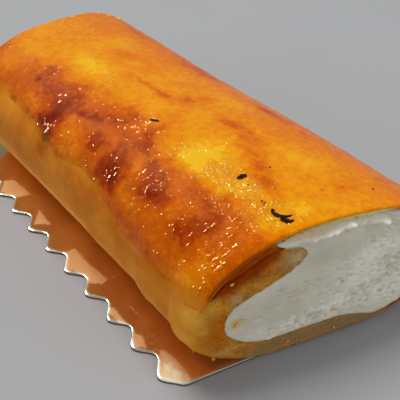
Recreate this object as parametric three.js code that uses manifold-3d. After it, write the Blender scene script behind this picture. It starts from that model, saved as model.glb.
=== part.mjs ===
// Cream swiss roll with a toasted egg-yolk skin, on its scalloped gold card.
// Millimetres. +X runs along the roll to the end cut nearest the viewer, +Y to the right, +Z up.
import * as THREE from "three";
import { mergeVertices } from "three/addons/utils/BufferGeometryUtils.js";
import Module from "manifold-3d";

// Roll: rounded section, flat where it rests on the card
const rollLength = 224; // between the two cuts, on the centre line
const halfWidthLeft = 54.6;
const halfWidthRight = 55.8;
const rollHeight = 66.3; // top of the sponge above the card
const widestHeight = 29; // height at which the section is widest
const baseSag = 2; // the section's curve would reach this far below the card
const shoulderLeft = 2.35; // superellipse powers: 2 is an ellipse, more is squarer
const shoulderRight = 2.7;
const heelPower = 2.5;
const outlinePoints = 60;

// Cuts: how far each one slants, in mm along the roll for 1 mm across it
const nearCutSlant = 0.256;
const farCutSlant = -0.06;

// Unevenness of the soft roll
const farTopLean = 0.035; // the top leans up to the right at the far end
const nearTopLean = -0.045; // and down to the right at the near end
const heelFlare = [ // part of the way along, and how far the left heel squashes out there
  [0, 2.2], [0.5, 2.2], [0.72, 3.2], [0.77, 3.3], [0.83, 6], [0.91, 5.7], [0.945, 8.8], [1, 7.6],
];
const lengthSway = 0.7; // gentle swell and dip of the top along the roll

// Sponge sheet: its thickness around the section
const topThickness = 1.5;
const rightWallThickness = 4.5;
const baseRightThickness = 3;
const baseMiddleThickness = 9.8;
const leftWallThickness = 11.4;
const spongeSteps = 20;
const coreStart = 121; // the core's rim in degrees round the section, from the flap to the left wall
const coreEnd = -181;
const corePoints = 40;

// Inner end of the sheet: a flap curled over the cream, from the left wall to its nose and back
const flapRoute = [
  [-42.8, 31.8], [-40, 35.2], [-33.5, 39], [-25.5, 43],
  [-18.8, 47.6], [-15.6, 52.4], [-18.4, 56.4], [-25.5, 57.8],
];
const flapPoints = 18;

// Open crevice between the flap and the outer layer: in under the layer, back out along the flap
const creviceRoute = [
  [-27, 60.6], [-32.4, 59.3], [-37.2, 56.9], [-41, 53.4], [-44.6, 49.2], [-47.8, 44.8], [-50, 40.6],
  [-45, 43.8], [-39.6, 46.8], [-34.4, 49.8], [-30.2, 53], [-27.2, 56.2], [-25.5, 58.4],
];
const crevicePoints = 22;
const creviceDepth = 46; // how far it runs in from the near cut
const creviceSteps = 8;
const creviceMiddle = new THREE.Vector2(-41, 50.5); // it closes towards this point as it runs in
const creviceOverrun = 2; // past the cut, so that the mouth is open

// Toasted yolk skin over the top and shoulders
const skinThickness = 0.9;
const skinGap = 0.35;
// Heights of its lower edge on the left flank, evenly spaced from the far cut to the near one
const skinEdgeLeft = [42, 46, 47, 44, 40, 45, 38, 32, 33, 39];
const skinEdgeRight = 34; // mean height and wave on the right flank
const skinEdgeWave = 5;
const skinStepsLong = 38;
const skinStepsAround = 24;

// Burnt flecks baked onto the skin: part of the way along, turn round the section, length, width
const fleckPlaces = [[0.955, 0.304, 10.5, 3.4], [0.836, 0.292, 6, 2.6], [0.582, 0.296, 4.6, 1.8]];
const fleckHeight = 0.7;
const fleckSink = 0.4;

// Card: gold foil board with waved long edges and straight cut ends
const cardThickness = 1.5;
const cardHalfWidth = 65; // to the middle of the waves
const waveHeight = 3.1;
const wavePitch = 18.8;
const wavePoints = 8;
const nearTipFromFront = 8.9; // last wave's tip behind the front left corner
const cardFrontInset = 2.9; // the roll's near cut overhangs the card by this much on the centre line
const cardFrontSlant = 0.193;
const cardBackMargin = 8;

const pieceGap = 0.3; // between touching pieces
const rollBase = cardThickness + pieceGap;

const signedPower = (value, power) => Math.sign(value) * Math.abs(value) ** power;

const smooth = (from, to, value) => THREE.MathUtils.smoothstep(value, from, to);

// Eases from each [place, amount] station to the next
function throughStations(value, stations) {
  const found = stations.findIndex(([limit]) => value <= limit);
  const next = found < 0 ? stations.length - 1 : Math.max(1, found);
  const [from, first] = stations[next - 1];
  const [to, second] = stations[next];
  return first + (second - first) * smooth(from, to, value);
}

// The section's outer outline: t runs once round, from the right flank over the top
class RollOutline extends THREE.Curve {
  constructor(offset = 0) {
    super();
    this.offset = offset;
  }

  plainPoint(angle) {
    const across = Math.cos(angle);
    const rise = Math.sin(angle);
    const shoulder = across > 0 ? shoulderRight : shoulderLeft;
    const power = 2 / (rise > 0 ? shoulder : heelPower);
    const halfWidth = across > 0 ? halfWidthRight : halfWidthLeft;
    const halfHeight = rise > 0 ? rollHeight - widestHeight : widestHeight + baseSag;
    const y = halfWidth * signedPower(across, power);
    const z = widestHeight + halfHeight * signedPower(rise, power);
    return new THREE.Vector2(y, z);
  }

  getPoint(t, target = new THREE.Vector2()) {
    const angle = 2 * Math.PI * t;
    const step = 0.02;
    const point = this.plainPoint(angle);
    const along = this.plainPoint(angle + step).sub(this.plainPoint(angle - step)).normalize();
    point.x += along.y * this.offset;
    point.y = Math.max(0, point.y - along.x * this.offset);
    return target.copy(point);
  }
}

// Thickness of the outer layer at an angle round the section, in degrees from the right flank
function layerThickness(angle) {
  const stations = [
    [-190, leftWallThickness],
    [-150, leftWallThickness],
    [-118, baseMiddleThickness],
    [-88, baseMiddleThickness],
    [-62, baseRightThickness],
    [-35, baseRightThickness],
    [0, rightWallThickness],
    [60, topThickness],
    [130, topThickness],
  ];
  return throughStations(angle, stations);
}

// Rim of the filled core, clockwise from the upper left, round the right side, to the left wall
function coreRim() {
  return Array.from({ length: corePoints }, (_, i) => {
    const degrees = coreStart + ((coreEnd - coreStart) * i) / (corePoints - 1);
    const outline = new RollOutline(-layerThickness(degrees));
    const t = THREE.MathUtils.euclideanModulo(degrees / 360, 1);
    const point = outline.getPoint(t);
    point.y = Math.max(point.y, layerThickness(degrees) * 0.98);
    return point;
  });
}

const splinePoints = (route, count) =>
  new THREE.SplineCurve(route.map(([y, z]) => new THREE.Vector2(y, z))).getSpacedPoints(count - 1);

// Moves every point of a clockwise outline inwards
function inset(points, distance) {
  return points.map((point, i) => {
    const before = points[(i + points.length - 1) % points.length];
    const after = points[(i + 1) % points.length];
    const along = after.clone().sub(before).normalize();
    return new THREE.Vector2(point.x + along.y * distance, point.y - along.x * distance);
  });
}

// Takes a point of the straight section to its place in the soft, slanted roll; part is 0 far, 1 near
function place(part, y, z) {
  const upper = Math.max(0, (z - widestHeight) / (rollHeight - widestHeight));
  const lean = THREE.MathUtils.lerp(farTopLean, nearTopLean, part);
  const squash = y < 0 ? (1 - z / rollHeight) * (-y / halfWidthLeft) ** 1.2 : 0;
  const sway = lengthSway * Math.sin(2 * Math.PI * (1.6 * part + 0.1));
  const placedY = y - squash * throughStations(part, heelFlare);
  const placedZ = z + upper * (lean * y + sway);
  const farX = -rollLength / 2 + farCutSlant * placedY;
  const nearX = rollLength / 2 + nearCutSlant * placedY;
  return [THREE.MathUtils.lerp(farX, nearX, part), placedY, placedZ + rollBase];
}

function remap(geometry, move) {
  const position = geometry.getAttribute("position");
  for (let i = 0; i < position.count; i += 1) {
    position.setXYZ(i, ...move(position.getX(i), position.getY(i), position.getZ(i)));
  }
  geometry.deleteAttribute("normal");
  geometry.deleteAttribute("uv");
  const merged = mergeVertices(geometry, 1e-4);
  merged.computeVertexNormals();
  return merged;
}

// Runs a section through the whole roll
function rollSolid(outline, holes, steps) {
  const shape = new THREE.Shape(outline);
  shape.holes = holes.map((hole) => new THREE.Path(hole));
  const straight = new THREE.ExtrudeGeometry(shape, { depth: 1, steps, bevelEnabled: false });
  return remap(straight, (y, z, part) => place(part, y, z));
}

function material(colour, roughness, metalness = 0) {
  return new THREE.MeshStandardMaterial({ color: colour, roughness, metalness });
}

function namedMesh(name, geometry, finish) {
  const mesh = new THREE.Mesh(geometry, finish);
  mesh.name = name;
  return mesh;
}

// The crevice as a solid to cut away, tapering as it runs in from the near cut
function creviceSolid() {
  const shape = new THREE.Shape(splinePoints(creviceRoute, crevicePoints));
  const straight = new THREE.ExtrudeGeometry(shape, { depth: 1, steps: creviceSteps, bevelEnabled: false });
  const mouth = 1 + creviceOverrun / rollLength;
  const tip = 1 - creviceDepth / rollLength;
  return remap(straight, (y, z, outward) => {
    const open = smooth(-0.15, 0.6, outward);
    const point = new THREE.Vector2(y, z).lerp(creviceMiddle, 1 - open);
    return place(THREE.MathUtils.lerp(tip, mouth, outward), point.x, point.y);
  });
}

function toManifold(geometry) {
  const vertProperties = geometry.getAttribute("position").array;
  const triVerts = Uint32Array.from(geometry.index.array);
  return new wasm.Manifold(new wasm.Mesh({ numProp: 3, vertProperties, triVerts }));
}

function fromManifold(solid) {
  const mesh = solid.getMesh();
  const geometry = new THREE.BufferGeometry();
  geometry.setAttribute("position", new THREE.BufferAttribute(mesh.vertProperties, 3));
  geometry.setIndex(new THREE.BufferAttribute(mesh.triVerts, 1));
  geometry.computeVertexNormals();
  return geometry;
}

function makeSponge(filling) {
  const outer = new RollOutline().getSpacedPoints(outlinePoints).slice(0, -1);
  const sheet = toManifold(rollSolid(outer, [filling], spongeSteps));
  const geometry = fromManifold(sheet.subtract(toManifold(creviceSolid())));
  return namedMesh("sponge", geometry, material(0xc99a4a, 0.75));
}

function makeCream(filling) {
  const geometry = rollSolid(inset(filling, pieceGap), [], spongeSteps);
  return namedMesh("cream", geometry, material(0xe6e2d6, 0.6));
}

// Height of the skin's lower edge along each flank
const leftEdge = new THREE.SplineCurve(
  skinEdgeLeft.map((height, i) => new THREE.Vector2(i / (skinEdgeLeft.length - 1), height)),
);

const leftEdgeHeight = (part) => leftEdge.getPoint(part).y;

function rightEdgeHeight(part) {
  const turn = 2 * Math.PI * part;
  return skinEdgeRight + skinEdgeWave * (0.62 * Math.sin(2.1 * turn + 4) + 0.38 * Math.sin(4.7 * turn));
}

// Part of the way round the outline, 0 to 0.5, at which the given flank reaches a height
function turnAtHeight(outline, height, left) {
  let low = 0;
  let high = 0.25;
  for (let i = 0; i < 30; i += 1) {
    const middle = (low + high) / 2;
    const point = outline.getPoint(left ? 0.5 - middle : middle);
    if (point.y < height) low = middle;
    else high = middle;
  }
  return left ? 0.5 - low : low;
}

// A low irregular scab on the skin
function fleckSolid([part, turn, length, width]) {
  const middle = new RollOutline(skinGap + skinThickness);
  const tiny = 0.01;
  const millimetresPerTurn = middle.getPoint(turn).distanceTo(middle.getPoint(turn + tiny)) / tiny;
  return remap(new THREE.SphereGeometry(1, 12, 6), (along, across, up) => {
    const ragged = 1 + 0.22 * Math.sin(3 * Math.atan2(across, along) + 20 * turn);
    const lift = up > 0 ? up * fleckHeight : up * fleckSink;
    const surface = new RollOutline(skinGap + skinThickness + lift);
    const point = surface.getPoint(turn - (across * ragged * width) / 2 / millimetresPerTurn);
    return place(part + (along * ragged * length) / 2 / rollLength, point.x, point.y);
  });
}

function makeYolkSkin() {
  const inner = new RollOutline(skinGap);
  const outer = new RollOutline(skinGap + skinThickness);
  const slab = new THREE.BoxGeometry(1, 1, 1, skinStepsAround, 1, skinStepsLong);
  const blanket = remap(slab, (around, outward, along) => {
    const part = along + 0.5;
    const start = turnAtHeight(inner, rightEdgeHeight(part), false);
    const end = turnAtHeight(inner, leftEdgeHeight(part), true);
    const face = outward > 0 ? outer : inner;
    const point = face.getPoint(THREE.MathUtils.lerp(end, start, around + 0.5));
    return place(part, point.x, point.y);
  });
  const join = (whole, fleck) => whole.add(toManifold(fleckSolid(fleck)));
  const geometry = fromManifold(fleckPlaces.reduce(join, toManifold(blanket)));
  return namedMesh("yolk_skin", geometry, material(0xe08a1c, 0.25));
}

// Outline of the card, anticlockwise seen from above
function cardOutline() {
  const back = -rollLength / 2 - cardBackMargin;
  const middleFront = rollLength / 2 - cardFrontInset;
  const front = (y) => middleFront + cardFrontSlant * y;
  const nearTip = front(-cardHalfWidth) - nearTipFromFront;
  const edge = (x) => cardHalfWidth + waveHeight * Math.cos((2 * Math.PI * (x - nearTip)) / wavePitch);
  const longEdge = (side) => {
    const end = front(side * cardHalfWidth);
    const count = Math.ceil(((end - back) / wavePitch) * wavePoints);
    return Array.from({ length: count + 1 }, (_, i) => {
      const x = back + ((end - back) * i) / count;
      return new THREE.Vector2(x, side * edge(x));
    });
  };
  return [...longEdge(-1), ...longEdge(1).reverse()];
}

function makeCard() {
  const shape = new THREE.Shape(cardOutline());
  const geometry = new THREE.ExtrudeGeometry(shape, { depth: cardThickness, bevelEnabled: false });
  return namedMesh("cake_card", geometry, material(0xb9782c, 0.25, 0.9));
}

const wasm = await Module();
wasm.setup();

const filling = [...coreRim(), ...splinePoints(flapRoute, flapPoints)];
const group = new THREE.Group();
group.add(makeSponge(filling), makeCream(filling), makeYolkSkin(), makeCard());

// The origin is under the middle of the whole box
const box = new THREE.Box3().setFromObject(group);
group.position.x = -(box.min.x + box.max.x) / 2;
group.position.y = -(box.min.y + box.max.y) / 2;
group.updateMatrixWorld(true);

export default group;
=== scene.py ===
# Cream swiss roll under a toasted egg-yolk skin, on its wavy gold card.
# The roll is worked out in millimetres along its own middle line, then set into the shared frame in metres.
import math

import bmesh
import bpy
import numpy as np
from mathutils import Matrix, Vector, geometry, kdtree, noise


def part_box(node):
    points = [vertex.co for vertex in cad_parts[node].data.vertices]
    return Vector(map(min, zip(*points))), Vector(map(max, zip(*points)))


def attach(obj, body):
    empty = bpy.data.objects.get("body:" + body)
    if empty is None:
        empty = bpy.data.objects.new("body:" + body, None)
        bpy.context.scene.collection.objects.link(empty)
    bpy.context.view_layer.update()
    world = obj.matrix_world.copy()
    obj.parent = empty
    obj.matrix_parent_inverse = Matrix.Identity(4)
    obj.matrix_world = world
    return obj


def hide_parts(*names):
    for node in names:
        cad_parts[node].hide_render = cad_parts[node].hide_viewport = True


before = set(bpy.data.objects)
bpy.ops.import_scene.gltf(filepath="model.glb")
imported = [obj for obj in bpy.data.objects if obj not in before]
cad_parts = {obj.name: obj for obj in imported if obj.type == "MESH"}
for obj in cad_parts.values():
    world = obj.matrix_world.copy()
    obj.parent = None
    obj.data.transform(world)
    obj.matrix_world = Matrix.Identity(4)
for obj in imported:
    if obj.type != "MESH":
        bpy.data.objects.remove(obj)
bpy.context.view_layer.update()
print("frame loaded")


# Numbers and curves
def smooth(low, high, value):
    t = np.clip((value - low) / (high - low), 0.0, 1.0)
    return t * t * (3.0 - 2.0 * t)


def bell(distance, radius):
    return np.exp(-((distance / radius) ** 2))


def throughStations(value, stations):  # eases from each (place, amount) station to the next
    amount = np.full(np.shape(value), stations[0][1], dtype=float)
    for (start, first), (end, second) in zip(stations, stations[1:]):
        amount = amount + (second - first) * smooth(start, end, value)
    return amount


def splineThrough(stops, count):  # evenly spaced points on a smooth curve through the stops
    stops = np.array(stops, dtype=float)
    padded = np.concatenate([stops[:1], stops, stops[-1:]])
    fine = []
    for i in range(len(stops) - 1):
        a, b, c, d = padded[i:i + 4]
        t = np.linspace(0, 1, 40, endpoint=False)[:, None]
        fine.append(0.5 * (2 * b + (c - a) * t + (2 * a - 5 * b + 4 * c - d) * t**2
                           + (3 * b - a - 3 * c + d) * t**3))
    fine = np.concatenate(fine + [stops[-1:]])
    steps = np.linalg.norm(np.diff(fine, axis=0), axis=1)
    run = np.concatenate([[0], np.cumsum(steps)])
    even = np.linspace(0, run[-1], count)
    return np.stack([np.interp(even, run, fine[:, k]) for k in range(stops.shape[1])], axis=-1)


def lumps(points, size, seed, octaves=3):  # soft noise, about -1 to 1, with lumps of this size in mm
    spread = np.reshape(points, (-1, 3)) / size + 7.31 * seed
    values = [noise.fractal(p, 1.0, 2.0, octaves) for p in spread.tolist()]
    return np.reshape(values, np.shape(points)[:-1])


def pits(points, size, seed):  # 1 in the middle of each pit, 0 between the pits
    spread = np.reshape(points, (-1, 3)) / size + 3.17 * seed
    nearest = [noise.voronoi(p)[0][0] for p in spread.tolist()]
    return np.reshape(1 - smooth(0.12, 0.42, np.array(nearest)), np.shape(points)[:-1])


# The roll's form, the same as its solids
roll = {  # mm, and slants in mm for 1 mm
    "length": 224, "height": 66.3, "widestHeight": 29, "baseSag": 2,
    "halfWidthLeft": 54.6, "halfWidthRight": 55.8,
    "shoulderLeft": 2.35, "shoulderRight": 2.7, "heelPower": 2.5,
    "nearCutSlant": 0.256, "farCutSlant": -0.06,
    "farTopLean": 0.035, "nearTopLean": -0.045,
    "sway": 0.7, "swayTurns": 1.6, "swayStart": 0.1,  # the top rises and falls along the roll
    "squashPower": 1.2, "slopeStep": 1.15,  # degrees either side, for the slope of the outline
    # part of the way along, and how far the left heel squashes out there
    "heelFlare": [(0, 2.2), (0.5, 2.2), (0.72, 3.2), (0.77, 3.3), (0.83, 6), (0.91, 5.7), (0.945, 8.8),
                  (1, 7.6)],
    "base": 1.8,  # on the card, with a gap under it
    "cardBack": -120,
}

shift = np.array([
    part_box("cake_card")[0].x * 1000 - roll["cardBack"],
    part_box("sponge")[1].y * 1000 - roll["halfWidthRight"],
    0.0,
])


def plainOutline(degrees):
    angle = np.radians(degrees)
    across, rise = np.cos(angle), np.sin(angle)
    shoulder = np.where(across > 0, roll["shoulderRight"], roll["shoulderLeft"])
    power = 2 / np.where(rise > 0, shoulder, roll["heelPower"])
    halfWidth = np.where(across > 0, roll["halfWidthRight"], roll["halfWidthLeft"])
    topHeight = roll["height"] - roll["widestHeight"]
    halfHeight = np.where(rise > 0, topHeight, roll["widestHeight"] + roll["baseSag"])
    y = halfWidth * np.sign(across) * np.abs(across) ** power
    z = roll["widestHeight"] + halfHeight * np.sign(rise) * np.abs(rise) ** power
    return y, z


def outline(degrees, outward=0.0):  # the section's rim, from the right flank over the top and round
    y, z = plainOutline(degrees)
    aheadY, aheadZ = plainOutline(degrees + roll["slopeStep"])
    behindY, behindZ = plainOutline(degrees - roll["slopeStep"])
    alongY, alongZ = aheadY - behindY, aheadZ - behindZ
    size = np.hypot(alongY, alongZ)
    return y + alongZ / size * outward, np.maximum(0, z - alongY / size * outward)


rimDegrees = np.linspace(0, 360, 3601)
rimSteps = np.hypot(*[np.diff(axis) for axis in outline(rimDegrees)])
rimRun = np.concatenate([[0], np.cumsum(rimSteps)])


def runAt(degrees):  # mm round the rim
    return np.interp(degrees, rimDegrees, rimRun)


def degreesAt(run):
    return np.interp(run, rimRun, rimDegrees)


def place(part, y, z):  # from the straight section to the soft, slanted roll; part is 0 far, 1 near
    upper = np.maximum(0, (z - roll["widestHeight"]) / (roll["height"] - roll["widestHeight"]))
    lean = roll["farTopLean"] + (roll["nearTopLean"] - roll["farTopLean"]) * part
    leftward = np.maximum(0, -y) / roll["halfWidthLeft"]
    squash = (1 - z / roll["height"]) * leftward ** roll["squashPower"]
    sway = roll["sway"] * np.sin(2 * np.pi * (roll["swayTurns"] * part + roll["swayStart"]))
    placedY = y - squash * throughStations(part, roll["heelFlare"])
    placedZ = z + upper * (lean * y + sway) + roll["base"]
    farX = -roll["length"] / 2 + roll["farCutSlant"] * placedY
    nearX = roll["length"] / 2 + roll["nearCutSlant"] * placedY
    return np.stack(np.broadcast_arrays(farX + (nearX - farX) * part, placedY, placedZ), axis=-1)


# Meshes
def ringFaces(rows, around, first=0, closed=True):  # quads of a grid whose rows are rings or strips
    last = around if closed else around - 1
    row, column = np.meshgrid(np.arange(rows - 1), np.arange(last), indexing="ij")
    after = (column + 1) % around
    corners = [row * around + column, row * around + after,
               (row + 1) * around + after, (row + 1) * around + column]
    return (np.stack(corners, axis=-1).reshape(-1, 4) + first).tolist()


def tubeFaces(rings, around, first):  # rings with both ends closed
    ends = [[first + start + k for k in range(around)] for start in (0, (rings - 1) * around)]
    return ringFaces(rings, around, first) + ends


def capFaces(triangles, *stretches):  # each stretch of the filled face is (first, count) in the mesh
    lookup = np.concatenate([first + np.arange(count) for first, count in stretches])
    return lookup[np.array(triangles)].tolist()


def insideLoop(points, loop):
    y, z = points[:, :1], points[:, 1:]
    startY, startZ = loop[:, 0], loop[:, 1]
    endY, endZ = np.roll(startY, -1), np.roll(startZ, -1)
    rise = np.where(endZ == startZ, 1e-9, endZ - startZ)
    crossesRow = (startZ > z) != (endZ > z)
    crossing = startY + (z - startZ) * (endY - startY) / rise
    return np.sum(crossesRow & (y < crossing), axis=1) % 2 == 1


def signedArea(loop):  # more than 0 where the loop runs anticlockwise
    ahead = np.roll(loop, -1, axis=0)
    return np.sum(loop[:, 0] * ahead[:, 1] - ahead[:, 0] * loop[:, 1]) / 2


def fillFace(loops, step, seed, sparseHalf=None):
    # triangles between the first loop and the others, its holes; few within sparseHalf of the middle line
    scatter = np.random.default_rng(seed)
    low, high = loops[0].min(axis=0), loops[0].max(axis=0)
    rowStep, jitter, clearOfRims = 0.87 * step, 0.22, 0.62 * step
    grid = np.stack(np.meshgrid(np.arange(low[0], high[0], step),
                                np.arange(low[1], high[1], rowStep)), axis=-1)
    grid[1::2, :, 0] += step / 2
    if sparseHalf is not None:
        covered = np.abs(grid[..., 1]) < sparseHalf
        covered[::4, ::4] = False
        grid = grid[~covered]
    grid = grid.reshape(-1, 2)
    grid = grid + scatter.uniform(-jitter, jitter, grid.shape) * step
    keep = insideLoop(grid, loops[0])
    for hole in loops[1:]:
        keep &= ~insideLoop(grid, hole)
    grid = grid[keep]
    rims = np.concatenate(loops)
    tree = kdtree.KDTree(len(rims))
    for i, (y, z) in enumerate(rims.tolist()):
        tree.insert((y, z, 0), i)
    tree.balance()
    clear = [tree.find((y, z, 0))[2] > clearOfRims for y, z in grid.tolist()]
    points = np.concatenate([rims, grid[clear]])
    starts = np.cumsum([0] + [len(loop) for loop in loops])
    areas = [list(range(a, b)) for a, b in zip(starts, starts[1:])]
    areas = [area if signedArea(points[area]) > 0 else area[::-1] for area in areas]
    flat = [Vector(p) for p in points.tolist()]
    made = geometry.delaunay_2d_cdt(flat, [], areas, 0, 1e-6, True)
    source = [olds[0] for olds in made[3]]
    triangles = [[source[v] for v in face] for face, within in zip(made[2], made[5]) if within == [0]]
    return points, triangles


def makePiece(name, points, faces, material, fields=None):
    mesh = bpy.data.meshes.new(name)
    mesh.from_pydata(((points + shift) / 1000).tolist(), [], faces)
    for label, values in (fields or {}).items():
        layer = mesh.attributes.new(label, "FLOAT", "POINT")
        layer.data.foreach_set("value", np.asarray(values, dtype=np.float32).ravel())
    shape = bmesh.new()
    shape.from_mesh(mesh)
    bmesh.ops.recalc_face_normals(shape, faces=shape.faces)
    shape.to_mesh(mesh)
    shape.free()
    mesh.shade_smooth()
    mesh.materials.append(material)
    piece = bpy.data.objects.new(name, mesh)
    bpy.context.scene.collection.objects.link(piece)
    return piece


# Shader nodes
def paint(red, green, blue):  # linear colour from 0 to 255 screen values
    values = [c / 255 for c in (red, green, blue)]
    return tuple(c / 12.92 if c <= 0.04045 else ((c + 0.055) / 1.055) ** 2.4 for c in values) + (1.0,)


def put(tree, kind, inputs=None, **settings):  # adds a node, with its values and links
    made = tree.nodes.new("ShaderNode" + kind)
    for name, value in settings.items():
        setattr(made, name, value)
    for name, value in (inputs or {}).items():
        if isinstance(value, bpy.types.NodeSocket):
            tree.links.new(value, made.inputs[name])
        else:
            made.inputs[name].default_value = value
    return made


def calc(tree, operation, first, second=0.0, third=0.0):
    return put(tree, "Math", {0: first, 1: second, 2: third}, operation=operation).outputs[0]


def mixColour(tree, amount, first, second):
    return put(tree, "Mix", {"Factor": amount, 6: first, 7: second}, data_type="RGBA").outputs[2]


def mixValue(tree, amount, first, second):
    return put(tree, "Mix", {"Factor": amount, 2: first, 3: second}, data_type="FLOAT").outputs[0]


def ease(tree, value, low, high, toLow=0.0, toHigh=1.0):
    inputs = {"Value": value, "From Min": low, "From Max": high, "To Min": toLow, "To Max": toHigh}
    return put(tree, "MapRange", inputs, interpolation_type="SMOOTHSTEP").outputs[0]


def rampOf(tree, value, stops):
    made = put(tree, "ValToRGB", {"Fac": value})
    line = made.color_ramp
    line.interpolation = "EASE"
    while len(line.elements) < len(stops):
        line.elements.new(0.5)
    for element, (position, colour) in zip(line.elements, stops):
        element.position = position
        element.color = colour
    return made.outputs["Color"]


def objectPlace(tree, stretch=(1, 1, 1)):
    place = put(tree, "TexCoord").outputs["Object"]
    return put(tree, "Mapping", {"Vector": place, "Scale": stretch}).outputs["Vector"]


def field(tree, name):
    return put(tree, "Attribute", attribute_name=name).outputs["Fac"]


def layTints(tree, colour, tints):  # lays each (field, strength, tint) over the colour in turn
    for name, strength, tint in tints:
        amount = calc(tree, "MULTIPLY", field(tree, name), strength)
        colour = mixColour(tree, amount, colour, tint)
    return colour


def noiseOf(tree, where, scale, detail):
    return put(tree, "TexNoise", {"Vector": where, "Scale": scale, "Detail": detail}).outputs["Fac"]


def bumpOf(tree, height, strength, distance, **under):
    inputs = {"Height": height, "Strength": strength, "Distance": distance, **under}
    return put(tree, "Bump", inputs).outputs["Normal"]


def newMaterial(name):
    material = bpy.data.materials.new(name)
    material.use_nodes = True
    material.node_tree.nodes.clear()
    return material, material.node_tree


def putShader(tree, inputs):  # a finish's one shader, with values and links for its inputs
    shader = put(tree, "BsdfPrincipled", inputs)
    put(tree, "OutputMaterial", {"Surface": shader.outputs[0]})


def newGroup(name, inputs, outputs):  # inputs are {name: value}, outputs {name: socket type}
    tree = bpy.data.node_groups.new(name, "ShaderNodeTree")
    for label, value in inputs.items():
        kind = "NodeSocketColor" if isinstance(value, tuple) else "NodeSocketFloat"
        tree.interface.new_socket(label, in_out="INPUT", socket_type=kind).default_value = value
    for label, kind in outputs.items():
        tree.interface.new_socket(label, in_out="OUTPUT", socket_type=kind)
    return tree, tree.nodes.new("NodeGroupInput").outputs, tree.nodes.new("NodeGroupOutput").inputs


def useGroup(tree, group, inputs):
    return put(tree, "Group", inputs, node_tree=group).outputs


# Effects that several finishes share
def makeMottle():  # soft cloudy variation
    tree, given, out = newGroup("cloudyMottle", {"Size mm": 10.0, "Soft": 0.5}, {"Value": "NodeSocketFloat"})
    scale = calc(tree, "DIVIDE", 1000.0, given["Size mm"])
    inputs = {"Vector": objectPlace(tree), "Scale": scale, "Roughness": given["Soft"]}
    cloud = put(tree, "TexNoise", {**inputs, "Detail": 5.0, "Distortion": 0.4})
    tree.links.new(ease(tree, cloud.outputs["Fac"], 0.3, 0.7), out["Value"])
    return tree


def makeCrumbPores():  # open pores and the fine walls between them
    sockets = {"Height": "NodeSocketFloat", "Pores": "NodeSocketFloat"}
    tree, given, out = newGroup("crumbPores", {"Size mm": 1.2}, sockets)
    scale = calc(tree, "DIVIDE", 1000.0, given["Size mm"])
    where = objectPlace(tree)
    bend = put(tree, "TexNoise", {"Vector": where, "Scale": scale, "Detail": 3.0})
    bent = put(tree, "VectorMath", {0: bend.outputs["Color"], "Scale": 0.0012}, operation="SCALE").outputs[0]
    moved = put(tree, "VectorMath", {0: where, 1: bent}, operation="ADD").outputs[0]
    holes = put(tree, "TexVoronoi", {"Vector": moved, "Scale": scale, "Randomness": 1.0})
    patch = noiseOf(tree, where, calc(tree, "MULTIPLY", scale, 0.3), 3.0)
    uneven = calc(tree, "MULTIPLY_ADD", patch, 1.1, holes.outputs["Distance"])
    pores = ease(tree, uneven, 0.95, 0.5)
    grain = noiseOf(tree, where, calc(tree, "MULTIPLY", scale, 2.6), 4.0)
    tree.links.new(calc(tree, "SUBTRACT", calc(tree, "MULTIPLY", grain, 0.7), pores), out["Height"])
    tree.links.new(pores, out["Pores"])
    return tree


def makeBakedFace(mottle):  # the smooth steamed outside of the sponge
    sockets = {"Color": "NodeSocketColor", "Height": "NodeSocketFloat"}
    inputs = {"Pale": paint(215, 150, 70), "Deep": paint(190, 115, 40)}
    tree, given, out = newGroup("bakedFace", inputs, sockets)
    cloud = useGroup(tree, mottle, {"Size mm": 26.0, "Soft": 0.45})["Value"]
    spots = useGroup(tree, mottle, {"Size mm": 5.0, "Soft": 0.6})["Value"]
    amount = calc(tree, "MULTIPLY_ADD", spots, 0.3, calc(tree, "MULTIPLY", cloud, 0.7))
    tree.links.new(mixColour(tree, amount, given["Pale"], given["Deep"]), out["Color"])
    tree.links.new(noiseOf(tree, objectPlace(tree, (1, 0.4, 0.4)), 420.0, 5.0), out["Height"])
    return tree


cloudyMottle = makeMottle()
crumbPores = makeCrumbPores()
bakedFace = makeBakedFace(cloudyMottle)
bareSponge = {"Pale": paint(236, 150, 40), "Deep": paint(208, 112, 20)}  # where the skin doesn't reach
print("shared effects made")


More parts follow.
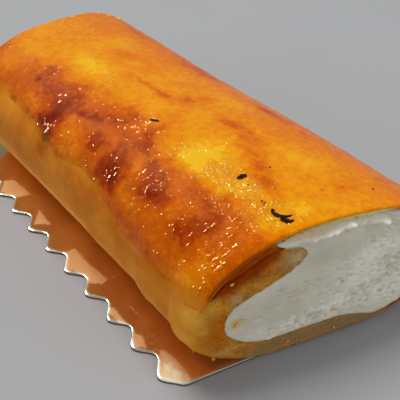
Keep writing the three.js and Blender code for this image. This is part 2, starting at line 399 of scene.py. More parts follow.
# Sponge sheet: the rolled layer, its flap and the open crevice
spongeSheet = {
    "stepAround": 1.0, "stepLong": 1.5, "cutStep": 0.65,  # mesh steps, mm
    "edgeRounding": [
        (0, 2.5), (40, 1.2), (65, 0.25), (119, 0.25), (128, 1.2), (166, 1.2), (184, 5.0), (215, 4.5),
        (245, 1.5), (262, 0.8), (300, 0.8), (335, 1.5), (360, 2.5),
    ],
    "layer": [(-190, 11.4), (-150, 11.4), (-118, 9.8), (-88, 9.8), (-62, 3), (-35, 3), (0, 4.5),
              (60, 1.5), (130, 1.5)],  # thickness at degrees round the section
    "coreStart": 121, "coreEnd": -181,
    "flapRoute": [(-42.8, 31.8), (-40, 35.2), (-33.5, 39), (-25.5, 43),
                  (-18.8, 47.6), (-15.6, 52.4), (-18.4, 56.4), (-25.5, 57.8)],
    "creviceRoute": [
        (-25.5, 58.4), (-27.2, 56.2), (-30.2, 53), (-34.4, 49.8), (-39.6, 46.8), (-45, 43.8),
        (-50, 40.6), (-47.8, 44.8), (-44.6, 49.2), (-41, 53.4), (-37.2, 56.9), (-32.4, 59.3),
        (-27, 60.6),
    ],
    # how far the crevice runs in from the near cut, and where the rows of the hole's wall lie, mm
    "creviceDepth": 46,
    "nearDepths": [0, 0.6, 1.2, 2, 3, 4.5, 6, 8, 10, 13, 16, 20, 24, 29, 34, 40, 46],
    "farDepth": 60, "farRows": 14,
    "dish": 2.4, "dishWidth": 4.2,  # the flap falls away towards the crevice
    # the thin layer over the crevice stays inside the skin's lip; it lies above and left of these, mm
    "lipSetBack": 1.3, "lipBottom": 47, "lipRight": -26, "lipWidth": 3.5,
    # degrees where no skin covers it, and parts of the way along where the cuts leave it crumbly
    "bare": [(8, 1), (30, 0), (150, 0), (168, 1), (232, 1), (262, 0), (338, 0), (352, 1)],
    "cutZone": [(0.02, 1), (0.06, 0), (0.93, 0), (0.98, 1)],
    "wrinkle": 0.3, "wrinkleSize": 7.0, "fineSize": 2.4, "crumbly": 0.45, "crumblySize": 3.0,
    "poreSize": 1.6, "poreDepth": 0.55, "crumble": 0.6,
    "ragged": 0.55, "raggedSize": 2.4,  # how the line between sponge and cream wanders
    # stained places at the cuts: y, z, half width, half height, strength
    "soaked": [(-47.5, 25, 4.2, 11, 0.85), (-52, 19, 4, 8, 0.35), (-47, 40, 2.5, 3, 0.3),
               (-21, 52, 3.5, 3, 0.2), (-21, 57.6, 5, 0.9, 0.6), (-62, 40, 4, 3, 0.2)],
    "golden": [(-58.5, 33, 3.2, 5, 0.8), (-60, 22, 3, 4, 0.6), (-37, 43, 5, 2.5, 0.3),
               (-42, 22, 1.4, 6, 0.7), (-54, 48, 4, 3, 0.3), (-40, 11, 4, 1.4, 0.45),
               (-55, 26, 2, 2, 0.6), (-60, 42, 3, 3, 0.3), (-52, 38, 3.5, 4, 0.6), (-47, 36, 3, 3, 0.4),
               (-44, 33, 1.6, 3, 0.5)],
    "dull": [(-5, 4.5, 22, 6, 1.0), (-28, 4, 9, 4, 0.7), (18, 4, 14, 5, 1.0), (-20, 8.6, 5, 1.2, 0.6),
             (-19.8, 53, 4, 4, 1.0), (-24, 50, 3, 2, 0.5), (-42.5, 38.5, 3, 3, 0.4)],
    # painted shade: darkens the lower right of the cut's base, where shade falls
    "paintedBaseShade": [(38, 8, 13, 7, 0.6), (50, 18, 5, 10, 0.5)],
    "filmFromRim": (0.3, 1.1), "filmHeight": (56, 59), "filmLeft": (-31, -28), "filmRight": (14, 26),
    "pale": [(-19.6, 52.6, 3.4, 4, 0.42), (-42, 38.6, 2.6, 3, 0.25), (-47, 11, 6, 2, 0.25)],
    # syrup run down below the skin: part, degrees, mm along and round, strength
    "drips": [(0.385, 165, 6, 5, 0.8), (0.5, 163, 14, 2, 0.3), (0.78, 171, 24, 5, 0.45),
              (0.95, 163, 12, 9, 0.3), (0.62, 163, 8, 4, 0.35)],
    "crumbColours": (paint(214, 144, 52), paint(172, 104, 30)), "poreShadeColour": paint(150, 84, 24),
    # syrup colours of the crevice; the darker one, on the dished flap and at the crevice's mouth, is partly
    # painted shade of the lip over it
    "creviceSyrupAndShadeColours": (paint(160, 62, 6), paint(246, 126, 26)),
    # field, strength, tint: over the cut crumb, over the baked outside, then over both
    # the second crumb tint is painted shade on the lower right of the cut's base
    "crumbTints": [("dull", 0.9, paint(160, 132, 90)), ("paintedBaseShade", 1, paint(110, 84, 50))],
    "bakedTints": [("drips", 1, paint(176, 72, 6))],
    "tints": [("golden", 1, paint(246, 188, 68)), ("soaked", 1, paint(200, 108, 16)),
              ("film", 1, paint(248, 222, 160))],
    "surface": {"Subsurface Weight": 0.25, "Subsurface Radius": (1.0, 0.45, 0.15), "Subsurface Scale": 0.003,
                "Specular IOR Level": 0.08, "Specular Tint": (1.0, 0.7, 0.35, 1.0)},
}


def coreRim(count):
    degrees = np.linspace(spongeSheet["coreStart"], spongeSheet["coreEnd"], count)
    thickness = throughStations(degrees, spongeSheet["layer"])
    y, z = outline(degrees % 360, -thickness)
    return np.stack([y, np.maximum(z, 0.98 * thickness)], axis=-1)


def raggedRim(rim, seed):  # the torn line between sponge and cream, calmer where the layer is thin
    sheet = spongeSheet
    where = np.stack([np.full(len(rim), 10.0 * seed), rim[:, 0], rim[:, 1]], axis=-1)
    index = np.arange(len(rim))
    fade = smooth(0, 12, index) * smooth(0, 12, len(rim) - 1 - index)
    along = np.roll(rim, -1, axis=0) - np.roll(rim, 1, axis=0)
    along /= np.linalg.norm(along, axis=1, keepdims=True)
    thick = np.clip(1 - smooth(20, 50, rim[:, 1]) + 1 - smooth(-20, -12, rim[:, 0]), 0.25, 1)
    amount = sheet["ragged"] * fade * thick * lumps(where, sheet["raggedSize"], seed)
    return rim + np.stack([along[:, 1], -along[:, 0]], axis=-1) * amount[:, None]


fillingRim = raggedRim(np.concatenate([coreRim(300), splineThrough(spongeSheet["flapRoute"], 80)]), 8)
creviceRim = splineThrough(spongeSheet["creviceRoute"], 72)
tailOfCrevice = int(np.argmin(creviceRim[:, 0]))


def nearness(y, z, line):  # distance from each point to the nearest point of a line, mm
    tree = kdtree.KDTree(len(line))
    for i, (lineY, lineZ) in enumerate(line.tolist()):
        tree.insert((lineY, lineZ, 0), i)
    tree.balance()
    distances = [tree.find((a, b, 0))[2] for a, b in zip(np.ravel(y), np.ravel(z))]
    return np.reshape(distances, np.shape(y))


def stain(y, z, spots, seed):  # ragged ovals of colour
    where = np.stack([np.full_like(y, 5.0 * seed), y, z], axis=-1)
    y = y + 1.4 * lumps(where, 3.2, seed)
    z = z + 1.4 * lumps(where, 3.2, seed + 1)
    total = np.zeros_like(y)
    for middleY, middleZ, width, height, strength in spots:
        total += strength * np.exp(-(((y - middleY) / width) ** 2) - ((z - middleZ) / height) ** 2)
    return np.clip(total * (1 + 0.35 * lumps(where, 1.6, seed + 2)), 0, 1)


def patches(part, degrees, spots):  # soft patches: part, degrees, mm along, mm round, strength
    x, run = part * roll["length"], runAt(degrees)
    total = np.zeros(np.shape(part))
    for spotPart, spotDegrees, along, around, strength in spots:
        away = ((x - spotPart * roll["length"]) / along) ** 2 + ((run - runAt(spotDegrees)) / around) ** 2
        total += strength * np.exp(-away)
    return total


def endRows(rounding, steps):  # distance in from the cut and sideways inset, from the body to the cut
    turn = np.linspace(0, np.pi / 2, steps)[:, None]
    return rounding * (1 - np.sin(turn)), rounding * (1 - np.cos(turn))


def spongeCutRelief(y, z, seed):
    sheet = spongeSheet
    where = np.stack([np.full_like(y, 40.0 * seed), y, z], axis=-1)
    calm = stain(y, z, sheet["dull"], 15)  # the base is cut cleaner than the wall and the flap
    crumble = lumps(where, 4.0, seed) + 0.5 * lumps(where, 1.5, seed + 3)
    relief = sheet["crumble"] * (1 - 0.6 * calm) * crumble
    return relief - (1 - 0.5 * calm) * sheet["poreDepth"] * pits(where, sheet["poreSize"], seed) - 0.25


def buildSponge(material):
    sheet = spongeSheet
    count = int(rimRun[-1] / sheet["stepAround"])
    degrees = degreesAt(np.linspace(0, rimRun[-1], count, endpoint=False))
    rounding = throughStations(degrees, sheet["edgeRounding"])
    depth, inset = endRows(rounding, 7)
    bodyRows = int(roll["length"] / sheet["stepLong"])
    t = np.linspace(0, 1, bodyRows)[1:-1, None]
    margin = rounding / roll["length"]
    body = margin + t * (1 - 2 * margin)
    part = np.concatenate([depth[::-1] / roll["length"], body, 1 - depth / roll["length"]])
    inward = np.concatenate([inset[::-1], np.zeros_like(body), inset])
    turn = np.broadcast_to(degrees, part.shape)
    rough = place(part, *outline(turn, -inward))
    bare = throughStations(turn, sheet["bare"])
    nearCut = throughStations(part, sheet["cutZone"])
    wrinkle = lumps(rough * [1, 0.45, 0.45], sheet["wrinkleSize"], 1) * 0.6
    wrinkle += lumps(rough, sheet["fineSize"], 2) * 0.35
    crumbly = sheet["crumbly"] * nearCut * (lumps(rough, sheet["crumblySize"], 4) - 0.5)
    relief = bare * (sheet["wrinkle"] * wrinkle + crumbly)
    rimY, rimZ = outline(turn, relief - inward)
    outer = place(part, rimY, rimZ)
    across = outer.shape[1]

    hole = np.concatenate([fillingRim, creviceRim])
    closed = np.linspace(fillingRim[-1], fillingRim[0], len(creviceRim) + 2)[1:-1]
    onCrevice = np.arange(len(hole)) >= len(fillingRim)
    upper = np.arange(len(creviceRim)) > tailOfCrevice
    fromEnds = np.minimum(np.arange(len(creviceRim)), len(creviceRim) - 1 - np.arange(len(creviceRim)))
    setBack = np.where(upper, sheet["lipSetBack"], sheet["dish"]) * smooth(0, 10, fromEnds)
    setBack = np.concatenate([np.zeros(len(fillingRim)), setBack])
    farDepths = np.linspace(sheet["farDepth"], roll["length"] - 0.8, sheet["farRows"])
    holeDepths = np.concatenate([sheet["nearDepths"], farDepths, [roll["length"]]])
    holeRows = []
    for deep in holeDepths:
        shut = smooth(0.1, 1.0, deep / sheet["creviceDepth"])
        crevice = creviceRim + (closed - creviceRim) * shut
        loop = np.concatenate([fillingRim, crevice])
        reach = deep + setBack * (1 - smooth(0, 12, deep))
        holeRows.append(place(1 - reach / roll["length"], loop[:, 0], loop[:, 1]))
    inner = np.stack(holeRows)
    ragged = lumps(inner, 2.6, 3) * 0.6 * smooth(0, 2.0, holeDepths)[:, None]
    inner[:, onCrevice, 2] += ragged[:, onCrevice] * (holeDepths < sheet["creviceDepth"])[:, None]

    holeFirst = outer.shape[0] * across
    points = [outer.reshape(-1, 3), inner.reshape(-1, 3)]
    faces = ringFaces(outer.shape[0], across) + ringFaces(len(holeDepths), len(hole), holeFirst)
    cut = [smooth(0.15, 0.75, inward / np.maximum(rounding, 0.01)).ravel(), np.ones(inner[..., 0].size)]
    # crevice walls: the darker syrup colour at the mouth, partly painted shade, brighter orange deeper in
    creviceSyrupAndShade = np.where(onCrevice, 0.75 + 0.25 * smooth(0, 6, holeDepths)[:, None], 0)
    crevice = [np.zeros(holeFirst), creviceSyrupAndShade.ravel()]
    near = [nearCut.ravel(), np.ones(inner[..., 0].size)]
    for atNear in (True, False):
        row = outer.shape[0] - 1 if atNear else 0
        holeLoop = hole if atNear else np.concatenate([fillingRim, closed])
        rim = np.stack([rimY[row], rimZ[row]], axis=-1)
        flat, triangles = fillFace([rim, holeLoop], sheet["cutStep"], 5 if atNear else 6)
        fixed = across + len(holeLoop)
        fresh = flat[fixed:]
        y, z = fresh[:, 0], fresh[:, 1]
        inside = smooth(0, 0.9, nearness(y, z, flat[:fixed]))
        relief = spongeCutRelief(y, z, 1 if atNear else 2) * inside
        falling = np.zeros(len(fresh))
        if atNear:
            toUpper = nearness(y, z, creviceRim[tailOfCrevice:])
            toLower = nearness(y, z, creviceRim[:tailOfCrevice])
            lip = (z > sheet["lipBottom"]) & (y < sheet["lipRight"])
            lip &= (toUpper < sheet["lipWidth"]) & (toUpper < toLower)
            toFlap = nearness(y, z, creviceRim[6:tailOfCrevice - 6])
            falling = np.where(lip, 0, bell(toFlap, sheet["dishWidth"]))
            relief -= np.where(lip, sheet["lipSetBack"], sheet["dish"] * falling)
        capPoints = place(1.0 if atNear else 0.0, y, z)
        capPoints[:, 0] += relief if atNear else -relief
        first = sum(len(p) for p in points)
        holeRow = 0 if atNear else len(holeDepths) - 1
        faces += capFaces(triangles, (row * across, across),
                          (holeFirst + holeRow * len(hole), len(hole)), (first, len(fresh)))
        points.append(capPoints)
        cut.append(np.ones(len(fresh)))
        # the dished flap by the crevice takes the dark syrup colour, partly painted shade of the lip
        crevice.append(0.75 * falling)
        near.append(np.ones(len(fresh)))
    points = np.concatenate(points)
    cut, crevice, near = np.concatenate(cut), np.concatenate(crevice), np.clip(np.concatenate(near), 0, 1)
    y, z = points[:, 1], points[:, 2] - roll["base"]
    fromRim = nearness(y, z, np.column_stack(outline(np.linspace(30, 150, 400))))
    atCut = near * np.maximum(cut, smooth(-46, -50, y))
    drips = np.zeros(len(points))
    wandering = degreesAt(runAt(turn) + 2 * lumps(rough, 6, 59))
    drips[:holeFirst] = patches(part, wandering, sheet["drips"]).ravel()
    # pale film over the thin sponge along the top of the cut
    film = cut * smooth(*sheet["filmFromRim"], fromRim) * smooth(*sheet["filmHeight"], z)
    film = film * smooth(*sheet["filmLeft"], y) * (1 - smooth(*sheet["filmRight"], y))
    fields = {
        "cut": cut, "crevice": crevice, "drips": np.clip(drips, 0, 1),
        "soaked": atCut * stain(y, z, sheet["soaked"], 51),
        "golden": atCut * stain(y, z, sheet["golden"], 54),
        "dull": cut * stain(y, z, sheet["dull"], 57),
        "paintedBaseShade": cut * stain(y, z, sheet["paintedBaseShade"], 58),
        "film": np.maximum(film, cut * stain(y, z, sheet["pale"], 60)),
    }
    return makePiece("sponge_sheet", points, faces, material, fields)


def spongeFinish():
    sheet = spongeSheet
    material, tree = newMaterial("bakedSponge")
    face = useGroup(tree, bakedFace, bareSponge)
    pores = useGroup(tree, crumbPores, {"Size mm": 1.3})
    cloud = useGroup(tree, cloudyMottle, {"Size mm": 7.0, "Soft": 0.65})["Value"]
    crumb = mixColour(tree, cloud, *sheet["crumbColours"])
    # painted shade: the crumb is darker in its pores
    crumb = mixColour(tree, calc(tree, "MULTIPLY", pores["Pores"], 0.3), crumb, sheet["poreShadeColour"])
    crumb = layTints(tree, crumb, sheet["crumbTints"])
    baked = layTints(tree, face["Color"], sheet["bakedTints"])
    cut, crevice = field(tree, "cut"), field(tree, "crevice")
    colour = layTints(tree, mixColour(tree, cut, baked, crumb), sheet["tints"])
    syrupAndShade = mixColour(tree, ease(tree, crevice, 0.74, 0.85), *sheet["creviceSyrupAndShadeColours"])
    colour = mixColour(tree, ease(tree, crevice, 0.1, 0.65), colour, syrupAndShade)
    fine = bumpOf(tree, face["Height"], 0.35, 0.0005)
    putShader(tree, {
        "Base Color": colour,
        "Roughness": ease(tree, cut, 0, 1, 0.5, 0.85),
        "Normal": bumpOf(tree, pores["Height"], cut, 0.0005, Normal=fine),
        **sheet["surface"],
    })
    return material


spongePiece = buildSponge(spongeFinish())
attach(spongePiece, "root")
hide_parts("sponge")
print("sponge sheet made")


# Cream: one core through the roll, dragged by the knife at both cuts
creamFilling = {
    "gap": 0.08,  # mm between the sponge and the cream
    "rowStep": 3.0, "cutStep": 0.5, "edgeRounding": 0.25,
    "drag": 0.75, "dragWidth": 2.2, "dragLength": 3.2,  # knife streaks: height mm, width mm, times as long
    "streakMiddle": (-2, 32), "streakTurn": [(-26, -8), (22, -22)],  # y, degrees that they fall at
    "torn": 0.85, "tornSize": 2.3, "pitSize": 3.6, "pitDepth": 0.5,
    "ridgeLine": [(-25, 59.6), (-17, 59.2), (-12, 59.4), (-8, 60.6), (-4, 62), (1, 62.4), (6, 62),
                  (12, 61), (18, 59.6)],  # lip of cream pushed up along the top edge
    "ridge": 2.3, "ridgeWidth": 1.25,
    "filmAbove": (0.3, 1.6), "filmLeft": (-31, -28), "filmRight": (2, 16), "filmDepth": 0.5,
    "yellowPlaces": [(-39, 25, 2.6, 2.2, 0.8), (-36.5, 26.5, 1.6, 1.2, 0.6), (-42.5, 22, 1.2, 5, 0.5)],
    "smoothPlaces": [(-8, 50, 11, 8), (-31, 31, 9, 6), (-20, 22, 8, 4)],  # y, z, half width, half height
    "tornPlaces": [(9, 28, 9, 9), (-12, 16, 13, 5), (20, 43, 12, 7), (30, 22, 14, 12), (3, 15, 6, 4)],
    "greenPlaces": [(24, 37, 5, 1.4, 0.9), (4, 15, 5, 1.6, 0.9), (-18, 8.8, 4, 1.0, 0.8),
                    (-36, 11, 5, 1.0, 0.7), (25, 47, 1.4, 3, 0.5)],
    "darkPits": [(-23, 36.4, 1.4), (-31, 25, 1.2), (-13, 37, 1.2), (8, 33, 1.2), (13, 20, 1.0),
                 (-5, 27, 1.0)],
    "pitFall": 0.8,
    "colours": (paint(214, 207, 187), paint(204, 197, 176)), "dentShadeColour": paint(214, 206, 182),
    # field, strength, tint: before the dents, then after them
    # the hollow tint is painted shade in the relief's hollows
    "tornTints": [("torn", 1, paint(248, 242, 225)), ("paintedHollowShade", 1, paint(208, 199, 176)),
                  # the ridge tint is a painted highlight along the crest
                  ("ridge", 1, paint(255, 246, 232))],
    "tints": [("film", 0.8, paint(228, 200, 158)), ("yellow", 1, paint(222, 186, 104)),
              ("green", 0.6, paint(200, 200, 130))],
    "surface": {"Roughness": 0.62, "Specular IOR Level": 0.12, "Subsurface Weight": 0.3,
                "Subsurface Radius": (1.0, 0.85, 0.6), "Subsurface Scale": 0.0015},
}


def insetLoop(loop, distance):
    along = np.roll(loop, -1, axis=0) - np.roll(loop, 1, axis=0)
    along /= np.linalg.norm(along, axis=1, keepdims=True)
    return np.stack([loop[:, 0] + along[:, 1] * distance, loop[:, 1] - along[:, 0] * distance], axis=-1)


def softenLoop(loop, passes):  # rounds the corners of a loop
    for _ in range(passes):
        loop = (np.roll(loop, 1, axis=0) + 2 * loop + np.roll(loop, -1, axis=0)) / 4
    return loop


def ovals(y, z, spots):  # soft, plain ovals
    total = np.zeros_like(y)
    for middleY, middleZ, width, height in spots:
        total += np.exp(-(((y - middleY) / width) ** 2) - ((z - middleZ) / height) ** 2)
    return np.clip(total, 0, 1)


def creamRelief(y, z, seed):
    filling = creamFilling
    where = np.stack([np.full_like(y, 30.0 * seed), y, z], axis=-1)
    turn = np.radians(throughStations(y, filling["streakTurn"]))
    fromY, fromZ = y - filling["streakMiddle"][0], z - filling["streakMiddle"][1]
    along = fromY * np.cos(turn) + fromZ * np.sin(turn)
    across = fromZ * np.cos(turn) - fromY * np.sin(turn)
    across = across + 1.2 * lumps(where, 9, seed + 2)
    slanted = np.stack([where[..., 0], along / filling["dragLength"], across], axis=-1)
    calm = ovals(y, z, filling["smoothPlaces"])
    broken = np.clip(0.4 + ovals(y, z, filling["tornPlaces"]), 0, 1) * (1 - 0.8 * calm)
    patchy = 0.35 + 0.65 * smooth(-0.25, 0.35, lumps(where, 8, seed + 3))
    streaks = 0.35 - np.abs(lumps(slanted, filling["dragWidth"], seed))
    streaks += 0.5 * lumps(slanted, 3 * filling["dragWidth"], seed + 1)
    relief = filling["drag"] * (1 - 0.65 * calm) * patchy * streaks
    relief += filling["torn"] * broken * patchy * lumps(where, filling["tornSize"], seed + 4)
    relief += 0.5 * lumps(where, 12, seed + 5)
    relief -= filling["pitDepth"] * broken * pits(where, filling["pitSize"], seed)
    for pitY, pitZ, radius in filling["darkPits"]:
        relief -= filling["pitFall"] * bell(np.hypot(y - pitY, (z - pitZ) * 1.6), radius)
    crest = splineThrough(filling["ridgeLine"], 160)
    away = nearness(y, z + 0.5 * lumps(where, 3, seed + 6), crest)
    ridge = bell(away, filling["ridgeWidth"] * (1 + 0.4 * lumps(where, 4, seed + 7)))
    ridge = ridge * np.clip(0.8 + 0.9 * lumps(where, 3.5, seed + 8), 0, 1.3) * smooth(-26, -20, y)
    relief += filling["ridge"] * ridge
    above = z - np.interp(y, crest[:, 0], crest[:, 1])
    film = smooth(*filling["filmAbove"], above) * smooth(*filling["filmLeft"], y)
    film = film * (1 - smooth(*filling["filmRight"], y))
    return relief - filling["filmDepth"] * film, broken, ridge, film


def buildCream(material):
    loop = softenLoop(insetLoop(softenLoop(fillingRim, 2), creamFilling["gap"]), 1)
    r = creamFilling["edgeRounding"]
    rows = int(roll["length"] / creamFilling["rowStep"])
    ends = np.array([0, 0.25 * r, r])
    insets = np.array([r, 0.4 * r, 0])
    body = np.linspace(3, roll["length"] - 3, rows)
    depths = np.concatenate([ends, body, roll["length"] - ends[::-1]])
    inward = np.concatenate([insets, np.zeros(rows), insets[::-1]])
    rings = [place(1 - d / roll["length"], *insetLoop(loop, i).T) for d, i in zip(depths, inward)]
    count = len(loop)
    points = [np.concatenate(rings)]
    faces = ringFaces(len(rings), count)
    names = ("torn", "paintedHollowShade", "green", "yellow", "film", "ridge")
    marks = {name: [np.zeros(len(points[0]))] for name in names}
    rim = insetLoop(loop, r)
    for near in (True, False):
        flat, triangles = fillFace([rim], creamFilling["cutStep"], 11 if near else 12)
        fresh = flat[count:]
        y, z = fresh[:, 0], fresh[:, 1]
        inside = smooth(0, 0.8, nearness(y, z, rim))
        relief, broken, ridge, film = creamRelief(y, z, 1 if near else 2)
        cap = place(1.0 if near else 0.0, y, z)
        cap[:, 0] += (relief if near else -relief) * inside
        first = sum(len(p) for p in points)
        row = 0 if near else len(rings) - 1
        faces += capFaces(triangles, (row * count, count), (first, len(fresh)))
        points.append(cap)
        marks["torn"].append(broken)
        # painted shade: the cream is darker in the hollows of its relief
        marks["paintedHollowShade"].append(smooth(0.3, -0.9, relief) * (1 - ridge))
        marks["green"].append(stain(y, z, creamFilling["greenPlaces"], 21))
        marks["yellow"].append(stain(y, z, creamFilling["yellowPlaces"], 22))
        marks["film"].append(film * (1 - np.clip(ridge, 0, 1)))
        # painted highlight: the ridge's crest is painted paler
        marks["ridge"].append(np.clip(ridge, 0, 1))
    fields = {name: np.concatenate(values) for name, values in marks.items()}
    return makePiece("cream_filling", np.concatenate(points), faces, material, fields)


def creamFinish():
    filling = creamFilling
    material, tree = newMaterial("whippedCream")
    cloud = useGroup(tree, cloudyMottle, {"Size mm": 12.0, "Soft": 0.55})["Value"]
    grain = useGroup(tree, crumbPores, {"Size mm": 0.8})
    torn = field(tree, "torn")
    colour = layTints(tree, mixColour(tree, cloud, *filling["colours"]), filling["tornTints"])
    # painted shade: the torn cream is darker in its dents
    paintedDentShade = calc(tree, "MULTIPLY", grain["Pores"], calc(tree, "MULTIPLY", torn, 0.35))
    colour = mixColour(tree, paintedDentShade, colour, filling["dentShadeColour"])
    putShader(tree, {
        "Base Color": layTints(tree, colour, filling["tints"]),
        "Normal": bumpOf(tree, grain["Height"], ease(tree, torn, 0, 1, 0.15, 0.45), 0.0005),
        **filling["surface"],
    })
    return material


creamPiece = buildCream(creamFinish())
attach(creamPiece, "root")
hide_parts("cream")
print("cream filling made")


# Yolk skin: toasted egg yolk over the top and shoulders
yolkSkin = {
    "step": 0.87, "thickness": 1.06, "sunk": -0.3,
    "edgeHeightLeft": [42, 46, 47, 44, 40, 45, 38, 32, 33, 39],  # far to near
    "edgeHeightRight": 34, "edgeWaveRight": 5,
    "feather": 9.0,  # mm over which the lower edges thin out
    "coverFrom": 0.4, "coverTo": 8.0, "coverWander": 2.6,  # how the colour fades towards those edges
    "nearRounding": 1.2, "farRounding": 2.0, "tuck": [(0.3, 0.35), (0.9, 0.7)],  # mm back and mm in
    "lipDepth": 5.0, "lipDrop": 1.9, "lipTurn": 0.5,  # the soft lip over the crevice
    "lipDegrees": [(119, 0), (128, 1), (160, 1), (168, 0)],  # where the skin curls into the crevice
    "lumpHeight": 0.2, "grainHeight": 0.09, "ridgeHeight": 0.1,
    "around": [(40, 0.44), (62, 0.34), (76, 0.25), (100, 0.2), (112, 0.27), (124, 0.47), (150, 0.46),
               (164, 0.42), (172, 0.36)],  # how toasted it is, degrees round the section
    # part of the way along, degrees round, mm along, mm round, strength
    "toasted": [
        (0.375, 133, 7, 4, 0.22), (0.37, 142, 6, 5, 0.3), (0.385, 152, 6.5, 5, 0.3),
        (0.385, 160, 6, 4, 0.4), (0.4, 160, 9, 3, 0.15), (0.345, 147, 4, 3, 0.2),
        (0.28, 151, 13, 1.6, 0.2), (0.2, 152, 5, 1.5, 0.15), (0.3, 128, 22, 5, 0.14),
        (0.32, 134, 10, 3, 0.1), (0.24, 118, 6, 4, 0.24), (0.235, 127.6, 1.6, 1.2, 0.3),
        (0.4, 124, 20, 6, 0.1), (0.44, 128, 10, 1.5, 0.2), (0.485, 125, 6, 1.3, 0.25),
        (0.34, 118, 10, 5, 0.12), (0.535, 136, 6, 5, 0.2), (0.52, 119, 10, 5, 0.14),
        (0.55, 112, 10, 5, 0.2), (0.53, 109, 6, 3, 0.12), (0.61, 110, 3, 4, 0.2),
        (0.625, 116, 4, 4, 0.25), (0.655, 122, 5, 3, 0.18), (0.44, 114, 14, 4, 0.1),
        (0.61, 134, 7, 4, 0.22), (0.64, 143, 6, 5, 0.3), (0.655, 150, 5, 3.5, 0.25),
        (0.6, 124, 8, 3, 0.1), (0.61, 155, 7, 3, 0.25), (0.605, 146, 4, 5, 0.25),
        (0.7, 127.5, 4, 2.5, 0.25), (0.74, 131, 9, 3, 0.2), (0.745, 139.5, 7, 4, 0.24),
        (0.775, 137, 6, 3, 0.12), (0.85, 127, 12, 3, 0.14), (0.89, 135, 7, 5, 0.16),
        (0.87, 146, 12, 5, 0.14), (0.92, 132, 5, 3, 0.1), (0.72, 162, 14, 3, 0.12),
        (0.84, 164, 14, 3, 0.1), (0.5, 159, 20, 1.5, 0.15), (0.45, 91.5, 14, 1.6, 0.2),
        (0.5, 90.5, 5, 2, 0.18), (0.545, 88, 4, 3, 0.28), (0.53, 90, 8, 2, 0.1), (0.56, 84, 3, 3, 0.14),
        (0.67, 87, 8, 2.5, 0.22), (0.73, 88.5, 10, 4, 0.18), (0.78, 92, 8, 3, 0.22),
        (0.83, 96, 7, 3, 0.26), (0.87, 100, 6, 3, 0.26), (0.9, 103, 4, 2, 0.15), (0.93, 84, 2, 3, 0.14),
        (0.4, 58, 20, 4, 0.16), (0.64, 61, 9, 3, 0.24), (0.18, 60, 12, 3, 0.12), (0.28, 68, 12, 2, 0.06),
        (0.28, 86, 6, 5, 0.12), (0.1, 76, 14, 8, 0.1), (0.1, 120, 16, 10, -0.12), (0.6, 101, 8, 3, 0.08),
        (0.33, 80, 16, 6, 0.08), (0.12, 99, 14, 8, 0.05), (0.7, 76, 30, 6, 0.04),
    ],
    "golden": [
        (0.08, 131, 10, 6, 0.14), (0.735, 107, 10, 8, 0.26), (0.76, 114, 9, 4, 0.2),
        (0.27, 101, 18, 6, 0.16), (0.24, 81, 10, 6, 0.1), (0.83, 83, 12, 6, 0.14),
        (0.6, 75, 14, 5, 0.08), (0.38, 80, 12, 4, 0.06), (0.95, 100, 6, 6, 0.14),
        (0.45, 141, 10, 6, 0.1), (0.72, 151, 10, 5, 0.1), (0.5, 148, 10, 5, 0.08),
        (0.27, 143, 10, 4, 0.1), (0.87, 110, 10, 5, 0.18), (0.95, 160, 8, 7, 0.16),
        (0.83, 116, 8, 3, 0.12), (0.96, 115, 6, 4, 0.12), (0.68, 135, 3, 6, 0.1),
        (0.82, 138, 5, 5, 0.08), (0.94, 148, 6, 5, 0.08),
    ],
    # how the toast colours it, from pale yolk to nearly burnt
    "toastColours": [(0.0, paint(252, 190, 30)), (0.16, paint(242, 156, 8)), (0.32, paint(232, 126, 4)),
                     (0.48, paint(208, 92, 3)), (0.66, paint(166, 52, 3)), (0.85, paint(122, 24, 3)),
                     (1.0, paint(84, 12, 3))],
    # painted shade: the skin darkens where its lip curls down into the crevice
    "lipShadeColour": paint(150, 62, 8),
    "skinRoughness": 0.32, "bareRoughness": 0.95, "beadRoughness": 0.12,
    "surface": {"Specular IOR Level": 0.42, "Specular Tint": (1.0, 0.48, 0.05, 1.0),
                "Subsurface Weight": 0.2, "Subsurface Radius": (1.0, 0.35, 0.05),
                "Subsurface Scale": 0.0025},
}


def degreesAtHeight(height, left):  # where a flank's skin reaches this height
    low, high = np.zeros_like(height), np.full_like(height, 90.0)
    for _ in range(24):
        middle = (low + high) / 2
        _, z = outline(np.where(left, 180 - middle, middle), 0.35)
        low = np.where(z < height, middle, low)
        high = np.where(z < height, high, middle)
    return 180 - low if left else low


def skinEdges(part):
    heights = np.array(yolkSkin["edgeHeightLeft"], dtype=float)
    stops = splineThrough(np.stack([np.linspace(0, 1, len(heights)), heights], axis=-1), 200)
    leftHeight = np.interp(part, stops[:, 0], stops[:, 1])
    turn = 2 * np.pi * part
    wave = 0.62 * np.sin(2.1 * turn + 4) + 0.38 * np.sin(4.7 * turn)
    rightHeight = yolkSkin["edgeHeightRight"] + yolkSkin["edgeWaveRight"] * wave
    return degreesAtHeight(rightHeight, False), degreesAtHeight(leftHeight, True)


def skinLumps(shown):
    skin = yolkSkin
    rise = skin["lumpHeight"] * lumps(shown, 6.5, 31) + skin["grainHeight"] * lumps(shown, 2.2, 32, 2)
    return rise + skin["ridgeHeight"] * lumps(shown * [1, 0.3, 0.3], 3.0, 33, 2)


def toastAt(part, degrees, shown):  # 0 is pale yolk, 1 is nearly burnt
    skin = yolkSkin
    run = runAt(degrees)
    warpAlong = 2.0 * lumps(shown, 11, 41) + 2.0 * lumps(shown, 4.5, 42)
    warpAround = 1.6 * lumps(shown, 11, 43) + 2.0 * lumps(shown, 4.5, 44)
    warpedPart = part + warpAlong / roll["length"]
    warpedDegrees = degreesAt(np.clip(run + warpAround, 0, rimRun[-1]))
    toast = throughStations(warpedDegrees, skin["around"]) + 0.05 * lumps(shown, 18, 45)
    toast = toast + patches(warpedPart, warpedDegrees, skin["toasted"])
    return toast - patches(warpedPart, warpedDegrees, skin["golden"])


